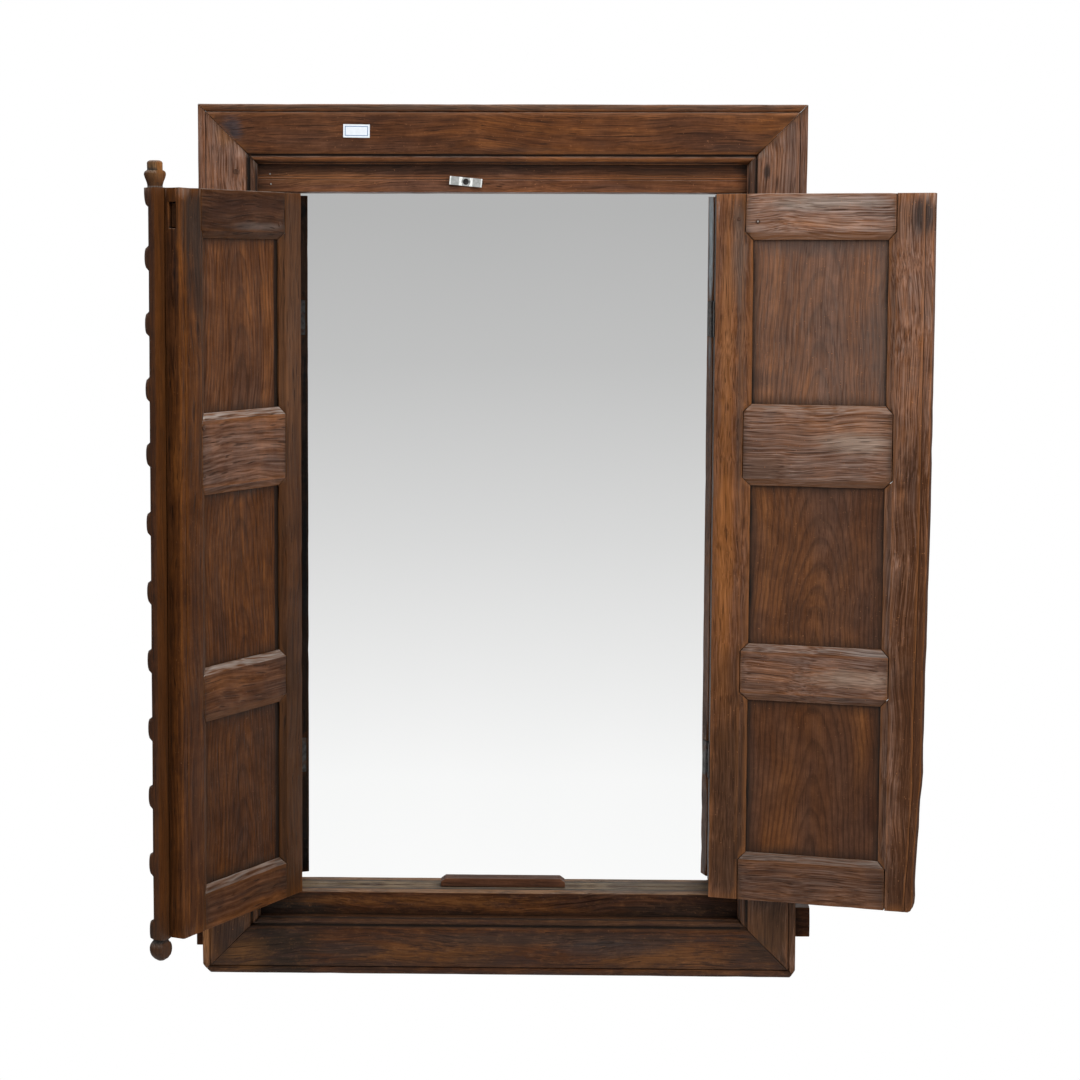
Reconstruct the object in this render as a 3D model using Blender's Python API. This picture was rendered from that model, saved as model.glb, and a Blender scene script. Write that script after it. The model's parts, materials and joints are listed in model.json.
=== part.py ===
"""Jharokha mirror: an old window frame with two panelled shutters, now framing a looking glass.

Metres. X runs to the right, the front faces -Y, the back lies on the wall at Y = 0 and Z is up.
The origin is the centre of the back. The shutters stand open as they are shown, each turned
about its own hinge pins.
"""

import math

import bmesh
import bpy
from mathutils import Matrix

# The whole frame, seen from the front.
overall_width = 0.860
overall_height = 1.252
architrave_width = 0.084
jamb_face_width = 0.0373
lintel_face_height = 0.039
sill_face_height = 0.034

# Clearances shared by every piece.
seat_gap = 0.0003
joint_gap = 0.0004
overrun = 0.002

# Depths, from the wall forwards.
board_thickness = 0.006
mirror_thickness = 0.004
mirror_recess = 0.045
architrave_thickness = 0.018

# How far each shutter stands open, from closed, and how a leaf clears its opening.
left_open_angle = math.radians(117.0)
right_open_angle = math.radians(163.8)
leaf_thickness = 0.024
hinge_side_gap = 0.0012
meeting_gap = 0.003
leaf_top_gap = 0.002
leaf_bottom_gap = 0.003
pin_standoff = 0.0035

# Edges and planes that several pieces share.
half_width = overall_width / 2
half_height = overall_height / 2
opening_half_width = half_width - architrave_width - jamb_face_width
opening_top = half_height - architrave_width - lintel_face_height
opening_bottom = architrave_width + sill_face_height - half_height
frame_back = -board_thickness - seat_gap
frame_depth = mirror_recess + mirror_thickness + seat_gap
frame_front = frame_back - frame_depth
mirror_front = frame_front + mirror_recess
pin_x = opening_half_width - hinge_side_gap
pin_y = frame_front - pin_standoff
leaf_bottom = opening_bottom + leaf_bottom_gap
leaf_height = opening_top - leaf_top_gap - leaf_bottom
leaf_edge = hinge_side_gap
leaf_free_edge = pin_x - meeting_gap / 2
leaf_front = pin_standoff
leaf_back = pin_standoff + leaf_thickness


# Helpers: bodies are drawn as closed outlines and pulled, turned or lofted.


def material(name, colour, roughness, metallic=0.0):
    made = bpy.data.materials.new(name)
    made.use_nodes = True
    shader = made.node_tree.nodes["Principled BSDF"]
    shader.inputs["Base Color"].default_value = (*colour, 1.0)
    shader.inputs["Roughness"].default_value = roughness
    shader.inputs["Metallic"].default_value = metallic
    return made


def pulled(outline, axis, start, end):
    """A closed outline drawn square to an axis and pulled along it from start to end."""
    order = {"x": (2, 0, 1), "y": (0, 2, 1), "z": (0, 1, 2)}[axis]
    shape = bmesh.new()
    points = [(*corner, start) for corner in outline]
    face = shape.faces.new([shape.verts.new([point[at] for at in order]) for point in points])
    moved = bmesh.ops.extrude_face_region(shape, geom=[face])["geom"]
    along = {"x": (1, 0, 0), "y": (0, 1, 0), "z": (0, 0, 1)}[axis]
    step = [share * (end - start) for share in along]
    bmesh.ops.translate(shape, verts=[v for v in moved if isinstance(v, bmesh.types.BMVert)], vec=step)
    bmesh.ops.recalc_face_normals(shape, faces=shape.faces)
    return shape


def box(x_range, y_range, z_range):
    """A block between two corners."""
    (x0, x1), (y0, y1), (z0, z1) = x_range, y_range, z_range
    return pulled([(x0, y0), (x1, y0), (x1, y1), (x0, y1)], "z", z0, z1)


def turned(profile, steps):
    """A profile of radius and height spun round Z; it starts and ends on the axis."""
    shape = bmesh.new()
    corners = [shape.verts.new((radius, 0, height)) for radius, height in profile]
    edges = [shape.edges.new(pair) for pair in zip(corners, corners[1:])]
    bmesh.ops.spin(
        shape,
        geom=corners + edges,
        cent=(0, 0, 0),
        axis=(0, 0, 1),
        angle=math.tau,
        steps=steps,
        use_duplicate=False,
    )
    bmesh.ops.remove_doubles(shape, verts=shape.verts, dist=weld_distance)
    bmesh.ops.recalc_face_normals(shape, faces=shape.faces)
    return shape


def together(shapes):
    """Several separate bodies in one mesh, as one cutter."""
    whole = bmesh.new()
    for shape in shapes:
        mesh = bpy.data.meshes.new("piece")
        shape.to_mesh(mesh)
        shape.free()
        whole.from_mesh(mesh)
        bpy.data.meshes.remove(mesh)
    return whole


def mirrored(shape, side):
    """The same shape for the right-hand side, where side is -1."""
    if side < 0:
        bmesh.ops.scale(shape, vec=(-1, 1, 1), verts=shape.verts)
        bmesh.ops.reverse_faces(shape, faces=shape.faces)
    return shape


def placed(name, shape, finish, place=(0, 0, 0), turn=(0, 0, 0), parent=None):
    """Makes the named piece of a shape and sets it in its place."""
    mesh = bpy.data.meshes.new(name)
    shape.to_mesh(mesh)
    shape.free()
    mesh.shade_smooth()
    mesh.set_sharp_from_angle(angle=sharp_angle)
    piece = bpy.data.objects.new(name, mesh)
    bpy.context.scene.collection.objects.link(piece)
    piece.location = place
    piece.rotation_euler = turn
    piece.parent = parent
    if finish:
        mesh.materials.append(finish)
    return piece


def carved(piece, shape, operation="DIFFERENCE"):
    """Cuts a shape out of a piece, or joins it on, in the piece's own place."""
    tool = placed(piece.name + "_" + operation.lower(), shape, None)
    tool.location = piece.location
    tool.rotation_euler = piece.rotation_euler
    tool.parent = piece.parent
    tool.hide_render = True
    tool.display_type = "WIRE"
    cut = piece.modifiers.new(tool.name, "BOOLEAN")
    cut.operation = operation
    cut.object = tool
    return piece


def arc(centre, radii, start, end, steps):
    """Points on an ellipse about a centre, from one angle to another."""
    points = []
    for step in range(steps + 1):
        angle = start + (end - start) * step / steps
        points.append((centre[0] + radii[0] * math.cos(angle), centre[1] + radii[1] * math.sin(angle)))
    return points


weld_distance = 0.000001
sharp_angle = math.radians(35.0)
round_sides = 20

# Finishes: old oiled hardwood in several tones, iron, chromed steel, ply and glass.


def old_wood(name, colour):
    return material(name, colour, 0.62)


def iron():
    return material("old_iron", (0.045, 0.038, 0.034), 0.55, 0.85)


def chromed_steel():
    return material("chromed_steel", (0.72, 0.72, 0.70), 0.16, 1.0)


def silvered_glass():
    return material("silvered_glass", (0.88, 0.89, 0.89), 0.03, 1.0)


def plywood():
    return material("plywood", (0.46, 0.33, 0.20), 0.75)


# The architrave: four mitred mouldings planted on the front of the frame.

outer_bead_width = 0.011
outer_bead_height = 0.003
quirk_width = 0.0012
inner_moulding_width = 0.0145
moulding_slope = 0.0010
moulding_drop = 0.0045
moulding_quirk = 0.0022
inner_bead_width = 0.0085
inner_bead_height = 0.0028
inner_edge_drop = 0.0065
bead_facets = 8
small_bead_facets = 6


def architrave_outline():
    """Across the moulding: distance in from the outer edge, and height over its back."""
    top = architrave_thickness
    floor = top - moulding_drop
    points = [(0, 0)]
    bead_centre = (outer_bead_width / 2, top - outer_bead_height)
    points += arc(bead_centre, (outer_bead_width / 2, outer_bead_height), math.pi, 0, bead_facets)
    points.append((outer_bead_width + quirk_width, top))
    inner_start = architrave_width - inner_moulding_width
    points.append((inner_start, top))
    points.append((inner_start + moulding_slope, floor))
    bead_start = inner_start + moulding_slope + moulding_quirk
    bead_centre = (bead_start + inner_bead_width / 2, floor)
    points += arc(bead_centre, (inner_bead_width / 2, inner_bead_height), math.pi, 0, small_bead_facets)
    bead_end = bead_start + inner_bead_width
    points.append((bead_end + quirk_width, top - inner_edge_drop))
    points.append((architrave_width, top - inner_edge_drop))
    points.append((architrave_width, 0))
    return points


def architrave_side(name, length, reach, turn, finish):
    """One mitred length, drawn as the top one and then turned about Y to its side."""
    back = frame_front - seat_gap
    outline = [(back - height, reach - inset) for inset, height in architrave_outline()]
    shape = pulled(outline, "x", -length / 2, length / 2)
    for corner in shape.verts:
        inset = reach - corner.co.z
        end = length / 2 - inset - joint_gap / 2
        corner.co.x = math.copysign(end, corner.co.x)
    return placed(name, shape, finish, turn=(0, turn, 0))


def architrave():
    finish = old_wood("architrave_wood", (0.115, 0.052, 0.031))
    quarter = math.pi / 2
    architrave_side("architrave_top", overall_width, half_height, 0, finish)
    architrave_side("architrave_right", overall_height, half_width, quarter, finish)
    architrave_side("architrave_bottom", overall_width, half_height, 2 * quarter, finish)
    architrave_side("architrave_left", overall_height, half_width, 3 * quarter, finish)


# The frame behind it: head beam, sill beam with horns, and two jambs tenoned between them.

jamb_width = 0.075
head_height = 0.075
sill_height = 0.082
left_horn_length = 0.057
right_horn_length = 0.068
horn_top_drop = 0.018
right_horn_rise = 0.020
jamb_tenon_length = 0.030
jamb_tenon_width = 0.045
jamb_tenon_thickness = 0.014
rebate_width = 0.010
lintel_groove_width = 0.0014
lintel_groove_depth = 0.0012
lintel_groove_height = 0.018
lintel_groove_spacing = 0.0038
sill_arris = 0.002
arris_facets = 4

jamb_outer = opening_half_width + jamb_width
jamb_centre = opening_half_width + jamb_width / 2
beam_centre_y = (frame_front + frame_back) / 2


def tenon(x, low, high, slack):
    """The tongue of a jamb, or the mortise for it when slack is more than nothing."""
    half = jamb_tenon_width / 2 + slack
    half_thick = jamb_tenon_thickness / 2 + slack
    return box((x - half, x + half), (beam_centre_y - half_thick, beam_centre_y + half_thick), (low, high))


def mirror_rebate():
    """The step behind the opening that the glass lies in."""
    reach = opening_half_width + rebate_width
    return box(
        (-reach, reach),
        (mirror_front - seat_gap, frame_back + overrun),
        (opening_bottom - rebate_width, opening_top + rebate_width),
    )


def head_beam(finish):
    top = opening_top + head_height
    outline = [(frame_front, opening_top)]
    for groove in range(2):
        middle = opening_top + lintel_groove_height + groove * lintel_groove_spacing
        outline.append((frame_front, middle - lintel_groove_width / 2))
        outline.append((frame_front + lintel_groove_depth, middle))
        outline.append((frame_front, middle + lintel_groove_width / 2))
    outline += [(frame_front, top), (frame_back, top), (frame_back, opening_top)]
    beam = placed("head_beam", pulled(outline, "x", -jamb_outer, jamb_outer), finish)
    high = opening_top + jamb_tenon_length + joint_gap
    cuts = [tenon(side * jamb_centre, opening_top - overrun, high, seat_gap) for side in (-1, 1)]
    carved(beam, together(cuts + [mirror_rebate(), button_screw_hole()]))


def sill_beam(finish):
    low = opening_bottom - sill_height
    horn_top = opening_bottom - horn_top_drop
    outline = [
        (-jamb_outer - left_horn_length, low),
        (jamb_outer, low),
        (jamb_outer, low + right_horn_rise),
        (jamb_outer + right_horn_length, low + right_horn_rise),
        (jamb_outer + right_horn_length, horn_top),
        (jamb_outer, horn_top),
        (jamb_outer, opening_bottom),
        (-jamb_outer, opening_bottom),
        (-jamb_outer, horn_top),
        (-jamb_outer - left_horn_length, horn_top),
    ]
    beam = placed("sill_beam", pulled(outline, "y", frame_front, frame_back), finish)
    deep = opening_bottom - jamb_tenon_length - joint_gap
    cuts = [tenon(side * jamb_centre, deep, opening_bottom + overrun, seat_gap) for side in (-1, 1)]
    carved(beam, together(cuts + [mirror_rebate(), sill_arris_cut()]))


def sill_arris_cut():
    """Takes the sharp corner off the front edge of the sill, where hands and rain have worn it."""
    centre = (frame_front + sill_arris, opening_bottom - sill_arris)
    outline = arc(centre, (sill_arris, sill_arris), math.pi, math.pi / 2, arris_facets)
    outline.append((centre[0], opening_bottom + overrun))
    outline.append((frame_front - overrun, opening_bottom + overrun))
    outline.append((frame_front - overrun, centre[1]))
    reach = opening_half_width - joint_gap
    return pulled(outline, "x", -reach, reach)


def jamb(name, side, finish):
    low = opening_bottom + joint_gap
    high = opening_top - joint_gap
    inner = opening_half_width
    rebate_x = inner + rebate_width
    shoulder = mirror_front - seat_gap
    outline = [
        (inner, frame_front),
        (jamb_outer, frame_front),
        (jamb_outer, frame_back),
        (rebate_x, frame_back),
        (rebate_x, shoulder),
        (inner, shoulder),
    ]
    post = placed(name, mirrored(pulled(outline, "z", low, high), side), finish)
    upper = tenon(jamb_centre, high - overrun, opening_top + jamb_tenon_length, 0)
    lower = tenon(jamb_centre, opening_bottom - jamb_tenon_length, low + overrun, 0)
    carved(post, mirrored(together([upper, lower]), side), "UNION")
    gains = []
    for height in hinge_heights():
        x_range = (inner - overrun, pin_x + plate_inset + plate_thickness + seat_gap)
        y_range = (frame_front - overrun, pin_y + plate_width + seat_gap)
        half = hinge_length / 2 + seat_gap
        gains.append(box(x_range, y_range, (height - half, height + half)))
    carved(post, mirrored(together(gains), side))


def frame():
    finish = old_wood("frame_wood", (0.098, 0.045, 0.027))
    head_beam(finish)
    sill_beam(finish)
    jamb("jamb_left", -1, finish)
    jamb("jamb_right", 1, finish)


# The looking glass, its backing board, the stop block and the two hangers.

glass_margin = 0.0094
board_margin = 0.030
stop_block_length = 0.182
stop_block_offset = 0.006
stop_block_height = 0.0128
stop_block_thickness = 0.013
stop_block_chamfer_length = 0.007
stop_block_chamfer_height = 0.005


def mirror_glass():
    reach = opening_half_width + glass_margin
    z_range = (opening_bottom - glass_margin, opening_top + glass_margin)
    sheet = box((-reach, reach), (mirror_front, mirror_front + mirror_thickness), z_range)
    placed("mirror_glass", sheet, silvered_glass())


def backing_board():
    reach = opening_half_width + board_margin
    z_range = (opening_bottom - board_margin, opening_top + board_margin)
    placed("backing_board", box((-reach, reach), (-board_thickness, 0), z_range), plywood())


def stop_block():
    """The low block on the sill that keeps closing shutters off the glass."""
    half = stop_block_length / 2
    low = opening_bottom + seat_gap
    high = opening_bottom + stop_block_height
    shoulder = high - stop_block_chamfer_height
    outline = [
        (stop_block_offset - half, low),
        (stop_block_offset + half, low),
        (stop_block_offset + half, shoulder),
        (stop_block_offset + half - stop_block_chamfer_length, high),
        (stop_block_offset - half + stop_block_chamfer_length, high),
        (stop_block_offset - half, shoulder),
    ]
    back = mirror_front - seat_gap
    finish = old_wood("stop_block_wood", (0.095, 0.040, 0.022))
    placed("stop_block", pulled(outline, "y", back - stop_block_thickness, back), finish)


hanger_width = 0.022
hanger_foot = 0.014
hanger_bridge = 0.032
hanger_ramp = 0.005
hanger_rise = 0.0038
hanger_thickness = 0.0015
hanger_drop = 0.110
keyhole_head_radius = 0.0048
keyhole_slot_radius = 0.0026
keyhole_slot_length = 0.011


def hanger(name, side, finish):
    """A cranked keyhole plate on the back of a jamb, which a wall screw's head slips behind."""
    near = frame_back + seat_gap
    far = near + hanger_rise
    middle = hanger_bridge / 2
    ramp = middle + hanger_ramp
    end = ramp + hanger_foot
    inner = [(near, -end), (near, -ramp), (far, -middle), (far, middle), (near, ramp), (near, end)]
    outer = [(y + hanger_thickness, z) for y, z in reversed(inner)]
    strap = pulled(inner + outer, "x", -hanger_width / 2, hanger_width / 2)
    strip_middle = (opening_half_width + board_margin + jamb_outer) / 2
    plate = placed(name, strap, finish, (side * strip_middle, 0, opening_top - hanger_drop))
    low = -keyhole_slot_length / 2
    slot_top = arc((0, -low), (keyhole_slot_radius, keyhole_slot_radius), 0, math.pi, round_sides // 2)
    meet = math.asin(keyhole_slot_radius / keyhole_head_radius)
    head_radii = (keyhole_head_radius, keyhole_head_radius)
    quarter = math.pi / 2
    head = arc((0, low), head_radii, quarter + meet, 5 * quarter - meet, round_sides)
    carved(plate, pulled(slot_top + head, "y", near - overrun, far + hanger_thickness + overrun))


def fittings_behind():
    mirror_glass()
    backing_board()
    stop_block()
    finish = iron()
    hanger("hanger_left", -1, finish)
    hanger("hanger_right", 1, finish)


# The turn button on the lintel: a cranked strip of plated steel that turns on a screw.

button_offset = -0.0512
button_height = 0.0148
button_half_length = 0.0230
button_width = 0.0120
button_sheet = 0.0012
button_seat_half = 0.0052
button_ramp = 0.0044
button_rise = 0.0030
button_lip = 0.0018
button_lip_rise = 0.0014
button_tilt = math.radians(5.5)
screw_head_radius = 0.0044
screw_head_height = 0.0022
screw_shank_radius = 0.0018
screw_length = 0.018
screw_slot_width = 0.0010
screw_slot_depth = 0.0009
head_facets = 5

button_z = opening_top + button_height


def turn_button():
    ramp_end = button_seat_half + button_ramp
    lip_start = button_half_length - button_lip
    half = [(button_seat_half, 0), (ramp_end, button_rise), (lip_start, button_rise)]
    half.append((button_half_length, button_rise + button_lip_rise))
    under = [(-x, rise) for x, rise in reversed(half)] + half
    over = [(x, rise + button_sheet) for x, rise in reversed(under)]
    seat = -seat_gap
    outline = [(x, seat - rise) for x, rise in under + over]
    strip = pulled(outline, "z", -button_width / 2, button_width / 2)
    finish = chromed_steel()
    place = (button_offset, frame_front, button_z)
    button = placed("turn_button", strip, finish, place, (0, button_tilt, 0))
    radius = screw_shank_radius + seat_gap
    hole = arc((0, 0), (radius, radius), 0, math.tau, round_sides)[:-1]
    carved(button, pulled(hole, "y", seat - button_sheet - overrun, seat + overrun))


def button_screw_hole():
    """The pilot hole in the lintel for the button's screw."""
    radius = screw_shank_radius + seat_gap
    ring = arc((button_offset, button_z), (radius, radius), 0, math.tau, round_sides)[:-1]
    return pulled(ring, "y", frame_front - overrun, frame_front + screw_length + seat_gap)


def button_screw():
    """A round-headed screw through the button into the lintel; its slot lies across the head."""
    under_head = button_sheet + seat_gap + seat_gap
    profile = [(0, -screw_length), (screw_shank_radius, -screw_length)]
    profile.append((screw_shank_radius, under_head))
    dome = arc((0, under_head), (screw_head_radius, screw_head_height), 0, math.pi / 2, head_facets)
    profile += dome[:-1]
    profile.append((0, under_head + screw_head_height))
    shape = turned(profile, round_sides)
    bmesh.ops.rotate(shape, verts=shape.verts, matrix=Matrix.Rotation(math.pi / 2, 3, "X"))
    finish = iron()
    screw = placed("turn_button_screw", shape, finish, (button_offset, frame_front, button_z))
    top = -under_head - screw_head_height
    half = screw_head_radius + overrun
    slot = box(
        (-half, half),
        (top - overrun, top + screw_slot_depth),
        (-screw_slot_width / 2, screw_slot_width / 2),
    )
    carved(screw, slot)


# The butt hinges: each has a plate let into the jamb, a plate let into the shutter and a pin.

hinge_length = 0.0508
hinge_end_distance = 0.178
plate_width = 0.022
plate_thickness = 0.0016
plate_inset = 0.00035
knuckle_radius = 0.0031
knuckle_count = 5
pin_radius = 0.0015
pin_head_radius = 0.0026
pin_head_height = 0.0012


def hinge_heights():
    """The middles of the lower and the upper hinge."""
    return (leaf_bottom + hinge_end_distance, leaf_bottom + leaf_height - hinge_end_distance)


def hinge_plate(name, side, first_knuckle, parent, place, finish):
    """One flap of a butt hinge, with every second knuckle; side tells which way it lies."""
    near = plate_inset
    far = plate_inset + plate_thickness
    notch = knuckle_radius + seat_gap
    half = hinge_length / 2
    pitch = hinge_length / knuckle_count
    plate = box((near, far), (notch, plate_width), (-half, half))
    flap = placed(name, mirrored(plate, side), finish, place, parent=parent)
    start = math.acos(far / knuckle_radius)
    end = math.acos(near / knuckle_radius) - math.tau
    curl = arc((0, 0), (knuckle_radius, knuckle_radius), start, end, round_sides)
    outline = curl + [(near, notch + overrun), (far, notch + overrun)]
    knuckles = []
    for number in range(first_knuckle, knuckle_count, 2):
        low = -half + number * pitch
        knuckles.append(pulled(outline, "z", low + seat_gap / 2, low + pitch - seat_gap / 2))
    carved(flap, mirrored(together(knuckles), side), "UNION")
    bore_radius = pin_radius + seat_gap
    ring = arc((0, 0), (bore_radius, bore_radius), 0, math.tau, round_sides)[:-1]
    carved(flap, pulled(ring, "z", -half - overrun, half + overrun))


def hinge_pin(name, place, finish):
    half = hinge_length / 2 + seat_gap
    tip = half + pin_head_height
    profile = [(0, -tip), (pin_head_radius, -tip), (pin_head_radius, -half), (pin_radius, -half)]
    profile += [(pin_radius, half), (pin_head_radius, half), (pin_head_radius, tip), (0, tip)]
    placed(name, turned(profile, round_sides), finish, place)


def hinges(word, side, pivot):
    """The upper and lower hinges of one shutter; side is the way the closed leaf points."""
    finish = iron()
    lower, upper = hinge_heights()
    for level, height in (("lower", lower), ("upper", upper)):
        place = (-side * pin_x, pin_y, height)
        name = f"{word}_{level}_hinge"
        hinge_plate(f"{name}_jamb_plate", -side, 0, None, place, finish)
        hinge_plate(f"{name}_leaf_plate", side, 1, pivot, (0, 0, height - leaf_bottom), finish)
        hinge_pin(f"{name}_pin", place, finish)


# The shutters: stiles and rails with mitred, chamfered shoulders round three flat panels.
# Each leaf is drawn closed, from its hinge pins: X across, Y towards the glass, Z up from its foot.

hinge_stile_flat = 0.042
free_stile_flat = 0.052
chamfer_width = 0.011
chamfer_depth = 0.005
panel_thickness = 0.008
groove_depth = 0.008
panel_slack = 0.0008
left_top_rail_flat = 0.055
left_upper_mid_rail_flat = 0.089
left_lower_mid_rail_flat = 0.053
left_bottom_rail_flat = 0.050
left_upper_panel_share = 0.3377
left_middle_panel_share = 0.3377
right_top_rail_flat = 0.0536
right_upper_mid_rail_flat = 0.0933
right_lower_mid_rail_flat = 0.0593
right_bottom_rail_flat = 0.0583
right_upper_panel_share = 0.3402
right_middle_panel_share = 0.3338
tenon_thickness = 0.010
tenon_shoulder = 0.009
tenon_haunch = 0.020
tenon_edge = 0.002
tenon_recess = 0.005
tenon_length = 0.030
meeting_bead_width = 0.012
meeting_bead_quirk = 0.0016
meeting_bead_depth = 0.0014
meeting_arris = 0.003

hinge_joint = leaf_edge + hinge_stile_flat
free_joint = leaf_free_edge - free_stile_flat
leaf_middle_y = (leaf_front + leaf_back) / 2
groove_half = panel_thickness / 2 + seat_gap


def rails(side):
    """Name, lower edge and upper edge of the flat of each rail, from the head of the leaf down.

    The two leaves were made by hand and their rails don't quite match; side 1 is the left leaf.
    """
    top_flat, upper_flat = left_top_rail_flat, left_upper_mid_rail_flat
    lower_flat, bottom_flat = left_lower_mid_rail_flat, left_bottom_rail_flat
    upper_share, middle_share = left_upper_panel_share, left_middle_panel_share
    if side < 0:
        top_flat, upper_flat = right_top_rail_flat, right_upper_mid_rail_flat
        lower_flat, bottom_flat = right_lower_mid_rail_flat, right_bottom_rail_flat
        upper_share, middle_share = right_upper_panel_share, right_middle_panel_share
    chamfers = 2 * 3 * chamfer_width
    sight = leaf_height - top_flat - upper_flat - lower_flat - bottom_flat - chamfers
    upper_mid_top = leaf_height - top_flat - upper_share * sight - 2 * chamfer_width
    upper_mid_foot = upper_mid_top - upper_flat
    lower_mid_top = upper_mid_foot - middle_share * sight - 2 * chamfer_width
    return [
        ("top_rail", leaf_height - top_flat, leaf_height),
        ("upper_mid_rail", upper_mid_foot, upper_mid_top),
        ("lower_mid_rail", lower_mid_top - lower_flat, lower_mid_top),
        ("bottom_rail", 0, bottom_flat),
    ]


def stile_outline(edge, joint, inward, beaded):
    """Across a stile: from its outer edge to the groove that holds the panels."""
    inner = joint + inward * chamfer_width
    bottom = inner - inward * groove_depth
    points = [
        (edge, leaf_front),
        (joint, leaf_front),
        (inner, leaf_front + chamfer_depth),
        (inner, leaf_middle_y - groove_half),
        (bottom, leaf_middle_y - groove_half),
        (bottom, leaf_middle_y + groove_half),
        (inner, leaf_middle_y + groove_half),
        (inner, leaf_back - chamfer_depth),
        (joint, leaf_back),
    ]
    if beaded:
        quirk = edge + inward * meeting_bead_width
        points.append((quirk + inward * meeting_bead_quirk / 2, leaf_back))
        points.append((quirk, leaf_back - meeting_bead_depth))
        points.append((quirk - inward * meeting_bead_quirk / 2, leaf_back))
        centre = (edge + inward * meeting_arris, leaf_back - meeting_arris)
        radii = (inward * meeting_arris, meeting_arris)
        points += arc(centre, radii, math.pi / 2, math.pi, arris_facets)
    else:
        points.append((edge, leaf_back))
    return points


def shoulder_cut(joint, inward, low, high):
    """What a rail takes out of a stile: square at the joint line, mitred through the chamfers."""
    reach = chamfer_width + overrun
    inner = joint + inward * reach
    lower = low - reach if low > 0 else -overrun
    upper = high + reach if high < leaf_height else leaf_height + overrun
    corner_low = low if low > 0 else -overrun
    corner_high = high if high < leaf_height else leaf_height + overrun
    outline = [(joint, corner_low), (inner, lower), (inner, upper), (joint, corner_high)]
    return pulled(outline, "y", leaf_front - overrun, leaf_back + overrun)


def tenon_span(low, high):
    """The height of a rail's tenon, set in from the flat and haunched at the ends of the leaf."""
    if low <= 0:
        return low + tenon_haunch, high - tenon_edge
    if high >= leaf_height:
        return low + tenon_edge, high - tenon_haunch
    return low + tenon_shoulder, high - tenon_shoulder


def stile(name, side, edge, joint, beaded, pivot, finish):
    """One upright of a leaf: shoulder cuts, mortises and, on the hinge side, plate gains.

    Only the top rail's mortise goes right through, in the free stile, where it shows as a slot.
    """
    inward = 1 if joint > edge else -1
    outline = stile_outline(edge, joint, inward, beaded)
    post = placed(name, mirrored(pulled(outline, "z", 0, leaf_height), side), finish, parent=pivot)
    shoulders = [shoulder_cut(joint, inward, low, high) for _, low, high in rails(side)]
    carved(post, mirrored(together(shoulders), side))
    half_thick = tenon_thickness / 2 + seat_gap
    y_range = (leaf_middle_y - half_thick, leaf_middle_y + half_thick)
    cuts = []
    for _, low, high in rails(side):
        foot, head = tenon_span(low, high)
        end = joint - inward * (tenon_length + seat_gap)
        if beaded and high >= leaf_height:
            end = edge - inward * overrun
        x_range = sorted((end, joint + inward * (chamfer_width + overrun)))
        cuts.append(box(x_range, y_range, (foot - seat_gap, head + seat_gap)))
    carved(post, mirrored(together(cuts), side))
    if not beaded:
        carved(post, mirrored(together(leaf_plate_gains()), side))


def leaf_plate_gains():
    """The shallow seats for the hinge plates in the edge of the hinge stile."""
    gains = []
    half = hinge_length / 2 + seat_gap
    for height in hinge_heights():
        middle = height - leaf_bottom
        x_range = (leaf_edge - overrun, plate_inset + plate_thickness + seat_gap)
        y_range = (leaf_front - overrun, plate_width + seat_gap)
        gains.append(box(x_range, y_range, (middle - half, middle + half)))
    return gains


def rail(name, side, low, high, pivot, finish):
    """One cross piece: chamfered and grooved where it meets a panel, mitred at its ends."""
    front_side = [(leaf_front, low), (leaf_front, high)]
    upper = []
    lower = []
    if high < leaf_height:
        upper = rail_lip(high, 1)
    if low > 0:
        lower = rail_lip(low, -1)[::-1]
    back_side = [(leaf_back, high), (leaf_back, low)]
    outline = front_side + upper + back_side + lower
    start = hinge_joint + joint_gap
    end = free_joint - joint_gap
    bar = placed(name, mirrored(pulled(outline, "x", start, end), side), finish, parent=pivot)
    mitres = []
    for edge, inward in ((start, 1), (end, -1)):
        for level, away, used in ((high, 1, high < leaf_height), (low, -1, low > 0)):
            if used:
                mitres.append(mitre_cut(edge, inward, level, away))
    carved(bar, mirrored(together(mitres), side))
    foot, head = tenon_span(low, high)
    half = tenon_thickness / 2
    y_range = (leaf_middle_y - half, leaf_middle_y + half)
    hinge_end = hinge_joint - tenon_length
    free_end = free_joint + tenon_length
    if high >= leaf_height:
        free_end = leaf_free_edge - tenon_recess
    tongues = [
        box((hinge_end, start + overrun), y_range, (foot, head)),
        box((end - overrun, free_end), y_range, (foot, head)),
    ]
    carved(bar, mirrored(together(tongues), side), "UNION")


def rail_lip(level, away):
    """The chamfers and the groove along one edge of a rail, from the front to the back."""
    crest = level + away * chamfer_width
    bottom = crest - away * groove_depth
    return [
        (leaf_front + chamfer_depth, crest),
        (leaf_middle_y - groove_half, crest),
        (leaf_middle_y - groove_half, bottom),
        (leaf_middle_y + groove_half, bottom),
        (leaf_middle_y + groove_half, crest),
        (leaf_back - chamfer_depth, crest),
    ]


def mitre_cut(edge, inward, level, away):
    """Trims one corner of a rail's lip at 45 degrees."""
    reach = chamfer_width + overrun
    outline = [
        (edge - inward * overrun, level - away * overrun),
        (edge + inward * reach, level + away * reach),
        (edge - inward * overrun, level + away * reach),
    ]
    return pulled(outline, "y", leaf_front - overrun, leaf_back + overrun)


def panel(name, side, low, high, pivot, finish):
    """A flat board held loose in the grooves between two rails."""
    inset = chamfer_width - groove_depth + panel_slack
    x_range = (hinge_joint + inset, free_joint - inset)
    y_range = (leaf_middle_y - panel_thickness / 2, leaf_middle_y + panel_thickness / 2)
    sheet = box(x_range, y_range, (low + inset, high - inset))
    placed(name, mirrored(sheet, side), finish, parent=pivot)


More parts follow.
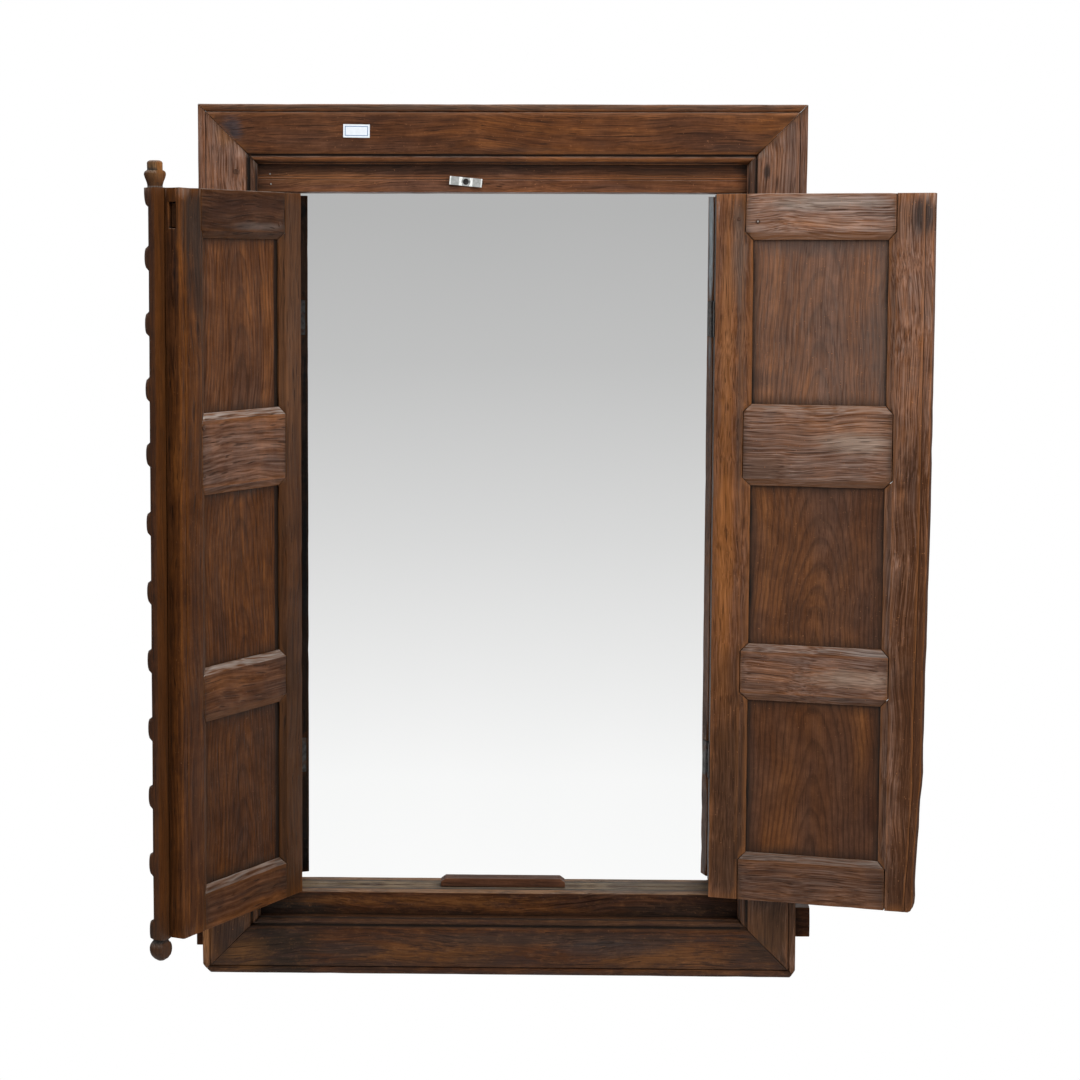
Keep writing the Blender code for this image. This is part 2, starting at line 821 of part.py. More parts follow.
def shutter(word, side, open_angle, rail_colour, panel_colour):
    """One leaf on its pivot; side is +1 where the closed leaf points along +X."""
    pivot = bpy.data.objects.new(f"{word}_shutter_pivot", None)
    bpy.context.scene.collection.objects.link(pivot)
    pivot.location = (-side * pin_x, pin_y, leaf_bottom)
    pivot.rotation_euler = (0, 0, -side * open_angle)
    wood = old_wood(f"{word}_shutter_wood", rail_colour)
    board = old_wood(f"{word}_panel_wood", panel_colour)
    stile(f"{word}_hinge_stile", side, leaf_edge, hinge_joint, False, pivot, wood)
    stile(f"{word}_free_stile", side, leaf_free_edge, free_joint, True, pivot, wood)
    bands = rails(side)
    for name, low, high in bands:
        rail(f"{word}_{name}", side, low, high, pivot, wood)
    names = ("upper_panel", "middle_panel", "lower_panel")
    for name, above, below in zip(names, bands, bands[1:]):
        panel(f"{word}_{name}", side, below[2], above[1], pivot, board)
    hinges(word, side, pivot)
    return pivot


# The astragal: the rounded cover strip on the left leaf that closes the gap between the leaves.

astragal_half_width = 0.017
astragal_depth = 0.016
astragal_overhang = 0.022
astragal_roundness = 3.0
boss_count = 11
boss_half_height = 0.0165
boss_depth = 0.009
boss_roundness = 2.6
boss_first = 0.0100
top_boss_height = 0.026
plain_head_run = 0.0669
close_boss_count = 3
close_step_share = 0.94
finial_height = 0.0355
finial_radius = 0.0150
finial_setting = 0.0105
finial_height_shares = (0.00, 0.08, 0.20, 0.35, 0.47, 0.54, 0.60, 0.64, 0.90, 0.96, 1.00)
finial_radius_shares = (0.70, 0.70, 0.78, 0.92, 1.00, 0.98, 0.88, 0.70, 0.70, 0.62, 0.42)
ball_radius = 0.0160
ball_setting = 0.0100
ball_rings = 9
ball_flat_share = 0.08
section_facets = 13
section_closing = math.radians(75.0)
boss_rings = 9


def bossed_section(z, bulge):
    """A D-shaped ring of the strip: a flat back and a rounded front, with any boss on it."""
    ring = []
    for step in range(section_facets + 1):
        angle = math.pi * step / section_facets
        across = math.copysign(abs(math.cos(angle)) ** (2 / astragal_roundness), math.cos(angle))
        out = abs(math.sin(angle)) ** (2 / astragal_roundness)
        forward = astragal_depth * out + bulge * out * math.sqrt(max(0, 1 - across * across))
        ring.append((astragal_half_width * across, -forward, z))
    return ring


def round_section(z, radius, setting):
    """A round ring of a finial, flattened at the back where it meets the plane of the leaf."""
    closing = min(section_closing, math.asin(min(1, setting / radius)))
    circle = arc((0, -setting), (radius, radius), closing, -math.pi - closing, section_facets)
    return [(x, y, z) for x, y in circle]


def bossed(share):
    """How far a boss stands out, from 1 at its middle to 0 at its end."""
    return (1 - abs(share) ** boss_roundness) ** (1 / boss_roundness)


def boss_levels():
    """Heights of the bosses up the strip: the last few stand a little closer, below a plain run."""
    last = leaf_height - top_boss_height - plain_head_run
    even_steps = boss_count - 1 - close_boss_count
    step = (last - boss_first) / (even_steps + close_boss_count * close_step_share)
    levels = [boss_first + step * number for number in range(even_steps + 1)]
    for number in range(close_boss_count):
        levels.append(levels[-1] + step * close_step_share)
    return levels


def astragal_rings():
    """Every ring from the ball at the foot to the knob at the head."""
    rings = []
    for number in range(ball_rings):
        share = number / ball_rings
        radius = ball_radius * math.sqrt(max(ball_flat_share, 1 - (2 * share - 1) ** 2))
        rings.append(round_section(2 * ball_radius * (share - 1), radius, ball_setting))
    rings.append(bossed_section(0, boss_depth * bossed(boss_first / boss_half_height)))
    for middle in boss_levels():
        for number in range(boss_rings + 1):
            share = 2 * number / boss_rings - 1
            z = middle + share * boss_half_height
            if z > seat_gap:
                rings.append(bossed_section(z, boss_depth * bossed(share)))
    foot = leaf_height - top_boss_height
    for number in range(boss_rings):
        share = number / (boss_rings - 1)
        z = foot + (top_boss_height - seat_gap) * share
        rings.append(bossed_section(z, boss_depth * bossed(1 - share)))
    for height_share, radius_share in zip(finial_height_shares, finial_radius_shares):
        z = leaf_height + finial_height * height_share
        rings.append(round_section(z, finial_radius * radius_share, finial_setting))
    return rings


def astragal(pivot):
    """Lofts the rings into one body on the front of the left leaf's free stile."""
    shape = bmesh.new()
    loops = []
    for ring in astragal_rings():
        loops.append([shape.verts.new(point) for point in ring])
    for below, above in zip(loops, loops[1:]):
        for number in range(len(below)):
            after = (number + 1) % len(below)
            shape.faces.new((below[number], below[after], above[after], above[number]))
    shape.faces.new(loops[0])
    shape.faces.new(loops[-1])
    bmesh.ops.recalc_face_normals(shape, faces=shape.faces)
    finish = old_wood("astragal_wood", (0.070, 0.028, 0.015))
    middle = leaf_free_edge + astragal_overhang - astragal_half_width
    placed("astragal", shape, finish, (middle, leaf_front - seat_gap, 0), parent=pivot)


def clear_scene():
    for thing in list(bpy.data.objects):
        bpy.data.objects.remove(thing, do_unlink=True)


def build():
    clear_scene()
    architrave()
    frame()
    fittings_behind()
    turn_button()
    button_screw()
    left = shutter("left", 1, left_open_angle, (0.105, 0.046, 0.026), (0.095, 0.040, 0.020))
    shutter("right", -1, right_open_angle, (0.150, 0.068, 0.040), (0.120, 0.056, 0.034))
    astragal(left)


build()
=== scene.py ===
import json
import math

import bmesh
import bpy
from mathutils import Euler, Matrix, Vector, noise
from mathutils.bvhtree import BVHTree


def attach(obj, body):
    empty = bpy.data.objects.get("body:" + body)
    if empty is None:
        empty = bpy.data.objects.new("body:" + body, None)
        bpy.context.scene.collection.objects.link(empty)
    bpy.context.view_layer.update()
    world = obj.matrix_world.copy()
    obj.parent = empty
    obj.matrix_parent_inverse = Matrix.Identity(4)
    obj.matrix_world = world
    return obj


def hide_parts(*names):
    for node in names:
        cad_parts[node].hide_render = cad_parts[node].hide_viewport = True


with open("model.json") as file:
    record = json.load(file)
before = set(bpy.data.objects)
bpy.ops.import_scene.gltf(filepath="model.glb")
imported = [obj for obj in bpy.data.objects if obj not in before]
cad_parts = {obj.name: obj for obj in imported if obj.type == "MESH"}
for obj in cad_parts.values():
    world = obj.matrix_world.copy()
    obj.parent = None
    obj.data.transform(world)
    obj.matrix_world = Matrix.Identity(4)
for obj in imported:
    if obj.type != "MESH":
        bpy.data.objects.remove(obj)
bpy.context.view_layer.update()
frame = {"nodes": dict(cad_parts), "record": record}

# The architrave
# Four mitred lengths of old hardwood moulding, planted and pegged on the front of the frame.
# They are oiled and waxed over years of dust; black wax and painted shade darken the hollows, and the arrises
# are rubbed paler under a painted highlight.


def board_axes(turn, upright):
    """Unit vectors along the grain, across the face and through the thickness of a board."""
    square = Matrix.Rotation(turn, 3, "Z")
    across, through, up = (square @ Vector(axis) for axis in ((1, 0, 0), (0, 1, 0), (0, 0, 1)))
    return (up, across, through) if upright else (across, up, through)


def cut_through(shape, point, way, **keep):
    """Cuts every face of a board along a plane."""
    tolerance = 0.00001
    everything = shape.verts[:] + shape.edges[:] + shape.faces[:]
    return bmesh.ops.bisect_plane(
        shape, geom=everything, plane_co=point, plane_no=way, dist=tolerance, **keep
    )


def cut_chips(shape, chips):
    """Saws off broken corners: each is a point on the break and the way the lost piece lay."""
    for point, way in chips:
        cut = cut_through(shape, point, way, clear_outer=True)
        rim = [thing for thing in cut["geom_cut"] if isinstance(thing, bmesh.types.BMEdge)]
        bmesh.ops.holes_fill(shape, edges=rim, sides=0)


def ease_arrises(shape, width):
    """Rounds the long sharp edges that hands have worn, where there is room beside them."""
    sharp_corner = math.radians(30)
    shortest_arris = 5 * width
    room_beside = 2.5 * width
    sharp = []
    for edge in shape.edges:
        if len(edge.link_faces) != 2 or edge.calc_length() < shortest_arris:
            continue
        if edge.calc_face_angle_signed(0) < sharp_corner:
            continue
        beside = [other for end in edge.verts for other in end.link_edges if other is not edge]
        if all(other.calc_length() > room_beside for other in beside):
            sharp.append(edge)
    bmesh.ops.bevel(
        shape, geom=sharp, offset=width, segments=2, profile=0.5, affect="EDGES", material=-1,
        clamp_overlap=True
    )


def section_lines(shape, axes, steps):
    """Cuts the faces at even steps along each way of the board, so that they can wander."""
    for way, step in zip(axes, steps):
        reach = [corner.co.dot(way) for corner in shape.verts]
        low, high = min(reach), max(reach)
        count = int((high - low) / step)
        for number in range(1, count + 1):
            level = low + (high - low) * number / (count + 1)
            cut_through(shape, way * level, way)


def near_others(shape, node, body):
    """Marks how close each point lies to the next pieces, where black wax has gathered and shade is painted.
    """
    furthest, dirt_and_shade_width = 0.03, 0.016
    corners, sides = [], []
    for other in frame["record"]["behaviour"]["bodies"][body]:
        if other not in (node, "mirror_glass", "backing_board"):
            mesh = frame["nodes"][other].data
            sides += [tuple(at + len(corners) for at in side.vertices) for side in mesh.polygons]
            corners += [corner.co.copy() for corner in mesh.vertices]
    others = BVHTree.FromPolygons(corners, sides)
    near = shape.verts.layers.float.new("near")
    for corner in shape.verts:
        found = others.find_nearest(corner.co, furthest)
        gap = found[3] if found[3] is not None else furthest
        corner[near] = max(0, 1 - gap / dirt_and_shade_width)


def rub_away(shape, spots):
    """Wears whole places down: each has its middle, its half sizes and how far the wood has gone."""
    ragged_scale = 30
    for middle, half, gone in spots:
        for corner in shape.verts:
            apart = Vector([(corner.co[at] - middle[at]) / half[at] for at in range(3)]).length
            share = max(0, min(1, 2.5 * (1 - apart)))
            ragged = 0.85 + 0.25 * noise.noise(corner.co * ragged_scale)
            corner.co += Vector(gone) * share * ragged


def wear_down(shape, wander, dent, seed):
    """Lowers the surface a little everywhere and more in dents along the arrises."""
    full_bend = math.radians(60)
    drift_scale, knock_scale = 9, 34
    shape.normal_update()
    rub = shape.verts.layers.float.new("wear")
    own_place = Vector((seed * 3.7, seed * 1.9, seed * 2.3))
    shifts = []
    for corner in shape.verts:
        edges = [edge for edge in corner.link_edges if len(edge.link_faces) == 2]
        bend = sum(edge.calc_face_angle_signed(0) for edge in edges)
        corner[rub] = max(-1, min(1, bend / full_bend))
        place = corner.co + own_place
        drift = 0.5 + 0.5 * noise.noise(place * drift_scale)
        knock = max(0, noise.noise(place * knock_scale)) ** 1.5 * max(0, corner[rub])
        shifts.append((corner, wander * drift + dent * knock))
    for corner, depth in shifts:
        corner.co -= corner.normal * depth


def as_piece(name, shape):
    """Makes a shape an object of the scene, with its place in its mesh."""
    mesh = bpy.data.meshes.new(name)
    shape.to_mesh(mesh)
    shape.free()
    piece = bpy.data.objects.new(name, mesh)
    bpy.context.scene.collection.objects.link(piece)
    return piece


def aged_board(
    node, arris, wander, seed, steps, turn=0.0, upright=True, dent=0.0018, chips=(), spots=()
):
    """A worn copy of a board of the frame, in its place and on its body."""
    weld, flat_enough, crease = 0.000005, math.radians(1), math.radians(40)
    body = next(name for name, nodes in frame["record"]["behaviour"]["bodies"].items() if node in nodes)
    shape = bmesh.new()
    shape.from_mesh(frame["nodes"][node].data)
    bmesh.ops.remove_doubles(shape, verts=shape.verts, dist=weld)
    bmesh.ops.dissolve_limit(shape, angle_limit=flat_enough, verts=shape.verts, edges=shape.edges)
    cut_chips(shape, chips)
    if arris:
        ease_arrises(shape, arris)
    section_lines(shape, board_axes(turn, upright), steps)
    near_others(shape, node, body)
    rub_away(shape, spots)
    wear_down(shape, wander, dent, seed)
    board = as_piece("old_" + node, shape)
    board.data.shade_smooth()
    board.data.set_sharp_from_angle(angle=crease)
    even = board.modifiers.new("even_shading", "WEIGHTED_NORMAL")
    even.keep_sharp = True
    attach(board, body)
    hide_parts(node)
    return board


def new_finish(name):
    """An empty finish, with its node tree and its shader."""
    finish = bpy.data.materials.new(name)
    finish.use_nodes = True
    return finish, finish.node_tree, finish.node_tree.nodes["Principled BSDF"]


def add(tree, kind, sockets=(), **settings):
    """A shader node with its settings, and its sockets linked or set."""
    made = tree.nodes.new("ShaderNode" + kind)
    for name, value in settings.items():
        setattr(made, name, value)
    for name, value in dict(sockets).items():
        if isinstance(value, bpy.types.NodeSocket):
            tree.links.new(value, made.inputs[name])
        else:
            made.inputs[name].default_value = value
    return made


def times(tree, first, second, **settings):
    """One value times another."""
    return add(tree, "Math", {0: first, 1: second}, operation="MULTIPLY", **settings).outputs[0]


def times_plus(tree, first, second, third):
    """One value times another, and a third on top."""
    return add(tree, "Math", {0: first, 1: second, 2: third}, operation="MULTIPLY_ADD").outputs[0]


def ranged(tree, value, low, high, bottom=0.0, top=1.0):
    """A value between two limits, spread over another range."""
    limits = {"From Min": low, "From Max": high, "To Min": bottom, "To Max": top}
    return add(tree, "MapRange", {"Value": value, **limits}).outputs[0]


def grey(value):
    return (value, value, value)


def ramp(tree, factor, stops):
    """A colour ramp through stops of place and colour."""
    made = add(tree, "ValToRGB", {"Fac": factor})
    line = made.color_ramp
    while len(line.elements) < len(stops):
        line.elements.new(0.5)
    for element, (place, colour) in zip(line.elements, stops):
        element.position = place
        element.color = (*colour, 1)
    return made.outputs["Color"]


def blended(tree, amount, under, over, how="MIX"):
    """One colour laid over another, or multiplied with it, by an amount."""
    made = add(tree, "Mix", {0: amount}, data_type="RGBA", blend_type=how)
    for socket, value in ((made.inputs[6], under), (made.inputs[7], over)):
        if isinstance(value, bpy.types.NodeSocket):
            tree.links.new(value, socket)
        else:
            socket.default_value = (*value, 1)
    return made.outputs[2]


def wood_places(tree, node, turn, upright):
    """Where a point lies: in the room, on the board with the grain along X, and as the grain sways."""
    faced_way = Matrix.Rotation(-turn, 3, "Z")
    grain_way = Matrix.Rotation(math.radians(90) if upright else 0, 3, "Y")
    turned = [grain_way @ faced_way @ corner.co for corner in frame["nodes"][node].data.vertices]
    reaches = [[point[at] for point in turned] for at in range(3)]
    centre = [(min(reach) + max(reach)) / 2 for reach in reaches]
    seed = 1 + sum(ord(letter) * (at + 1) for at, letter in enumerate(node)) % 97
    place = add(tree, "TexCoord").outputs["Object"]
    faced = add(tree, "Mapping", {"Vector": place, "Rotation": faced_way.to_euler()})
    laid = add(tree, "Mapping", {"Vector": faced.outputs[0], "Rotation": grain_way.to_euler(),
                                 "Location": [-value for value in centre]}).outputs[0]
    apart = add(tree, "VectorMath", {0: laid, 1: (seed * 2.7, seed * 0.61, seed * 1.13)}).outputs[0]
    sway = add(tree, "TexNoise", {"Vector": apart, "Scale": 4.5, "Detail": 3.0, "Roughness": 0.4})
    centred = add(tree, "VectorMath", {0: sway.outputs["Color"], 1: grey(0.5)}, operation="SUBTRACT")
    swayed = {0: centred.outputs[0], 1: (0.0, 0.03, 0.04)}
    eased = add(tree, "VectorMath", swayed, operation="MULTIPLY").outputs[0]
    bent = add(tree, "VectorMath", {0: apart, 1: eased}).outputs[0]
    curved = add(tree, "VectorMath", {0: laid, 1: eased}).outputs[0]
    return place, apart, bent, curved


def grained(tree, bent, lengthways, crossways, detail, rough):
    """A cloud drawn out along the grain."""
    drawn = {0: bent, 1: (lengthways, crossways, crossways)}
    streak = add(tree, "VectorMath", drawn, operation="MULTIPLY").outputs[0]
    settings = {"Vector": streak, "Scale": 1.0, "Detail": detail, "Roughness": rough}
    return add(tree, "TexNoise", settings).outputs["Fac"]


def speckled(tree, place, scale, detail, rough, distortion=0.0):
    """A cloud of spots, the same every way."""
    settings = {"Scale": scale, "Detail": detail, "Roughness": rough, "Distortion": distortion}
    return add(tree, "TexNoise", {"Vector": place, **settings}).outputs["Fac"]


def growth_rings(tree, curved, ring, heart, tilt):
    """Where the saw went through the tree's rings, whose heart lies beside the board."""
    radians_for_each_scale = 20
    trunk = add(tree, "Mapping", {"Vector": curved, "Rotation": (0, 0, math.radians(tilt)),
                                  "Location": (0, *heart)}).outputs[0]
    rings = add(
        tree, "TexWave",
        {"Vector": trunk, "Scale": math.tau / (radians_for_each_scale * ring), "Distortion": 1.2,
         "Detail": 4.0, "Detail Scale": 0.7, "Detail Roughness": 0.6},
        wave_type="RINGS", rings_direction="X", wave_profile="SAW"
    )
    late_wood = ((0.0, grey(0.15)), (0.5, grey(0)), (0.88, grey(1)), (1.0, grey(0.4)))
    return ramp(tree, rings.outputs["Fac"], late_wood)


def with_marks(tree, colour, place, streaked, marks):
    """Stains, knots, painted shade and painted highlights on the wood: each has its middle, its half sizes,
    its colour and its strength.

    Their edges are streaky, but one with a half size of a metre or more is a crisp line, such as a line of
    dirt, of paint or of painted shade.
    """
    line_length = 1
    crisp_edge = (0.5, 1.35, 1.15)
    streaky_edge = (3.2, 2.75, 2.05)
    for spot, half, mark_colour, strength in marks:
        offset = add(tree, "VectorMath", {0: place, 1: spot}, operation="SUBTRACT").outputs[0]
        scaled = add(tree, "VectorMath", {0: offset, 1: half}, operation="DIVIDE").outputs[0]
        far = add(tree, "VectorMath", {0: scaled}, operation="LENGTH").outputs["Value"]
        ragged, outer, inner = crisp_edge if max(half) >= line_length else streaky_edge
        uneven = times_plus(tree, streaked, ragged, far)
        mark = ranged(tree, uneven, outer, inner, top=strength)
        colour = blended(tree, mark, colour, mark_colour)
    return colour


def with_blotches(tree, colour, bent, strength):
    """Dark blotches in the wood, and half as strong, scuffs down to paler wood."""
    dark_blotch, scuffed_wood = (0.028, 0.013, 0.009), (0.170, 0.075, 0.028)
    blotch_stops = ((0.48, grey(0)), (0.62, grey(strength)))
    blotch = ramp(tree, grained(tree, bent, 20.0, 70.0, 5.0, 0.75), blotch_stops)
    colour = blended(tree, blotch, colour, dark_blotch)
    scuff_stops = ((0.52, grey(0)), (0.74, grey(0.5 * strength)))
    scuff = ramp(tree, grained(tree, bent, 60.0, 150.0, 5.0, 0.8), scuff_stops)
    return blended(tree, scuff, colour, scuffed_wood)


def dirt_and_painted_shade(tree, wear, patches, grime_and_shade):
    """How much black wax and painted shade lie in the hollows and close to the next pieces."""
    near = add(tree, "Attribute", attribute_name="near").outputs["Fac"]
    broken = times_plus(tree, patches, 2.0, -0.3)
    close = add(tree, "Math", {0: near, 1: 2.0}, operation="POWER").outputs[0]
    joint = times(tree, times(tree, close, broken), grime_and_shade * 1.7, use_clamp=True)
    hollow = ranged(tree, wear, -0.1, -0.9, top=0.9)
    return add(tree, "Math", {0: joint, 1: hollow}, operation="MAXIMUM").outputs[0]


def old_wood(
    node, shades, turn=0.0, upright=True, tone=1.0, bloom_and_sheen=0.0, figure=0.3, ring=0.006, heart=(0.05, 0.02),
    tilt=1.5, grime_and_shade=0.5, rub_and_highlight=0.5, gloss=0.45, dust_and_sheen=0.25, cracks=1.0, grain=1.0, coarse=1.0, lustre=0.18,
    blotches=0.0, marks=()
):
    """Oiled hardwood: streaks, fibres and pores along the grain, growth rings, a grey waxy haze with painted
    sheen, black wax with painted shade, a grey dusting with painted sheen on faces that look up, and paler
    arrises with a painted highlight.

    Shades are the dark, the middle, the pale and the violet wood, and tone makes them lighter or darker.
    """
    wax_bloom_and_sheen, black_wax_and_shade, dust_and_sheen_colour = (0.40, 0.35, 0.32), (0.012, 0.009, 0.007), (0.36, 0.33, 0.30)
    fleck_strength, deepest_pore = 0.5, 0.0008
    dark, middle, pale, violet = (tuple(tone * value for value in shade) for shade in shades)
    finish, tree, shader = new_finish(node + "_finish")
    place, apart, bent, curved = wood_places(tree, node, turn, upright)
    zones = grained(tree, bent, 3.0, 14.0, 3.0, 0.6)
    broad = grained(tree, bent, 1.6, 46.0, 3.0, 0.65)
    narrow = grained(tree, bent, 3.2, 300.0 / coarse, 4.0, 0.7)
    fibres = grained(tree, bent, 12.0, 700.0 / coarse, 2.0, 0.6)
    pores = grained(tree, bent, 26.0, 900.0 / coarse, 0.0, 0.5)
    splits = grained(tree, bent, 2.0, 210.0, 1.0, 0.5)
    patches = speckled(tree, apart, 9.0, 6.0, 0.7, distortion=0.6)

    colour = ramp(tree, broad, ((0.24, dark), (0.50, middle), (0.78, pale)))
    hazy = ramp(tree, zones, ((0.44, grey(0)), (0.66, grey(0.8))))
    colour = blended(tree, hazy, colour, violet)
    spots = speckled(tree, apart, 34.0, 7.0, 0.7)
    mottle = ramp(tree, spots, ((0.34, (0.72, 0.69, 0.68)), (0.66, (1.24, 1.25, 1.26))))
    colour = blended(tree, 0.9, colour, mottle, "MULTIPLY")
    ringed = growth_rings(tree, curved, ring, heart, tilt)
    colour = blended(tree, times(tree, ringed, figure), colour, tuple(0.45 * value for value in dark))
    cast = ramp(tree, patches, ((0.30, (0.58, 0.53, 0.53)), (0.62, (1.18, 1.17, 1.16))))
    colour = blended(tree, 0.8, colour, cast, "MULTIPLY")
    # A grey bloom of dried wax, mixed in more strongly to paint the sheen of the light on the boards.
    fibre_streaks = ramp(tree, fibres, ((0.34, grey(0)), (0.66, grey(1))))
    bloom_and_sheen_mask = times_plus(tree, fibre_streaks, bloom_and_sheen * 0.36 * grain, bloom_and_sheen * (0.20 - 0.15 * grain))
    colour = blended(tree, bloom_and_sheen_mask, colour, wax_bloom_and_sheen)

    streaked = times_plus(tree, narrow, 0.5, times(tree, patches, 0.5))
    colour = with_marks(tree, colour, place, streaked, marks)
    if blotches:
        colour = with_blotches(tree, colour, bent, blotches)
    veins = ramp(tree, narrow, ((0.28, (0.56, 0.52, 0.51)), (0.48, grey(1)), (0.72, (1.30, 1.32, 1.32))))
    colour = blended(tree, 0.9 * grain, colour, veins, "MULTIPLY")
    threads = ramp(tree, fibres, ((0.30, (0.62, 0.60, 0.59)), (0.70, (1.38, 1.40, 1.42))))
    colour = blended(tree, 0.9 * grain, colour, threads, "MULTIPLY")
    pore = ramp(tree, pores, ((0.24, grey(1)), (0.33, grey(0))))
    split = ramp(tree, splits, ((0.25, grey(cracks)), (0.285, grey(0))))
    pore = add(tree, "Math", {0: pore, 1: split}, operation="MAXIMUM").outputs[0]
    pore_depth = times(tree, pore, 0.35 + 0.35 * cracks)
    colour = blended(tree, pore_depth, colour, tuple(0.3 * value for value in dark))
    specks = speckled(tree, apart, 430.0, 1.0, 0.5)
    fleck = ramp(tree, specks, ((0.735, grey(0)), (0.78, grey(fleck_strength))))
    colour = blended(tree, fleck, colour, tuple(min(1, 1.8 * value + 0.03) for value in pale))

    wear = add(tree, "Attribute", attribute_name="wear").outputs["Fac"]
    # Black wax and painted shade darken the hollows and the wood along the next pieces.
    colour = blended(tree, dirt_and_painted_shade(tree, wear, patches, grime_and_shade), colour, black_wax_and_shade)
    # Convex arrises turn paler: rubbed wood and a painted highlight.
    edge = ranged(tree, wear, 0.35, 1.0, top=rub_and_highlight)
    colour = blended(tree, times(tree, edge, narrow), colour, tuple(min(1, 1.6 * value) for value in pale))
    # Faces that look up turn greyer: settled dust and a painted sheen of the light from above.
    facing = add(tree, "NewGeometry").outputs["Normal"]
    upward = add(tree, "SeparateXYZ", {0: facing}).outputs["Z"]
    settled_dust_and_sheen = times(tree, ranged(tree, upward, 0.15, 0.65, top=dust_and_sheen), fibre_streaks)
    colour = blended(tree, settled_dust_and_sheen, colour, dust_and_sheen_colour)
    tree.links.new(colour, shader.inputs["Base Color"])

    shine = ranged(tree, patches, 0.3, 0.7, gloss + 0.16, gloss - 0.06)
    tree.links.new(shine, shader.inputs["Roughness"])
    shader.inputs["Specular IOR Level"].default_value = lustre
    lift = times(tree, pore, -0.6)
    for layer, height in ((ringed, -0.2), (fibres, 0.8), (narrow, 0.9)):
        lift = times_plus(tree, layer, height, lift)
    relief = add(tree, "Bump", {"Height": lift, "Strength": 0.6, "Distance": deepest_pore})
    tree.links.new(relief.outputs[0], shader.inputs["Normal"])
    return finish


def dressed(board, finish):
    """Gives a board its finish."""
    board.data.materials.append(finish)


band_front = -0.074
moulding_front = -0.068
mark_depth = 0.02
deep_mark = 0.03


def front_mark(across, up, half_wide, half_high, colour, strength, front=band_front, deep=mark_depth):
    """A mark on a front that faces forward: its middle, its half sizes, its colour and its strength."""
    return (across, front, up), (half_wide, deep, half_high), colour, strength


moulding_shades = (
    (0.058, 0.020, 0.007), (0.118, 0.040, 0.011), (0.190, 0.068, 0.018), (0.088, 0.040, 0.023)
)
near_black = (0.014, 0.011, 0.010)
half_width, inner_bead_inset = 0.430, 0.0765
inner_bead = half_width - inner_bead_inset
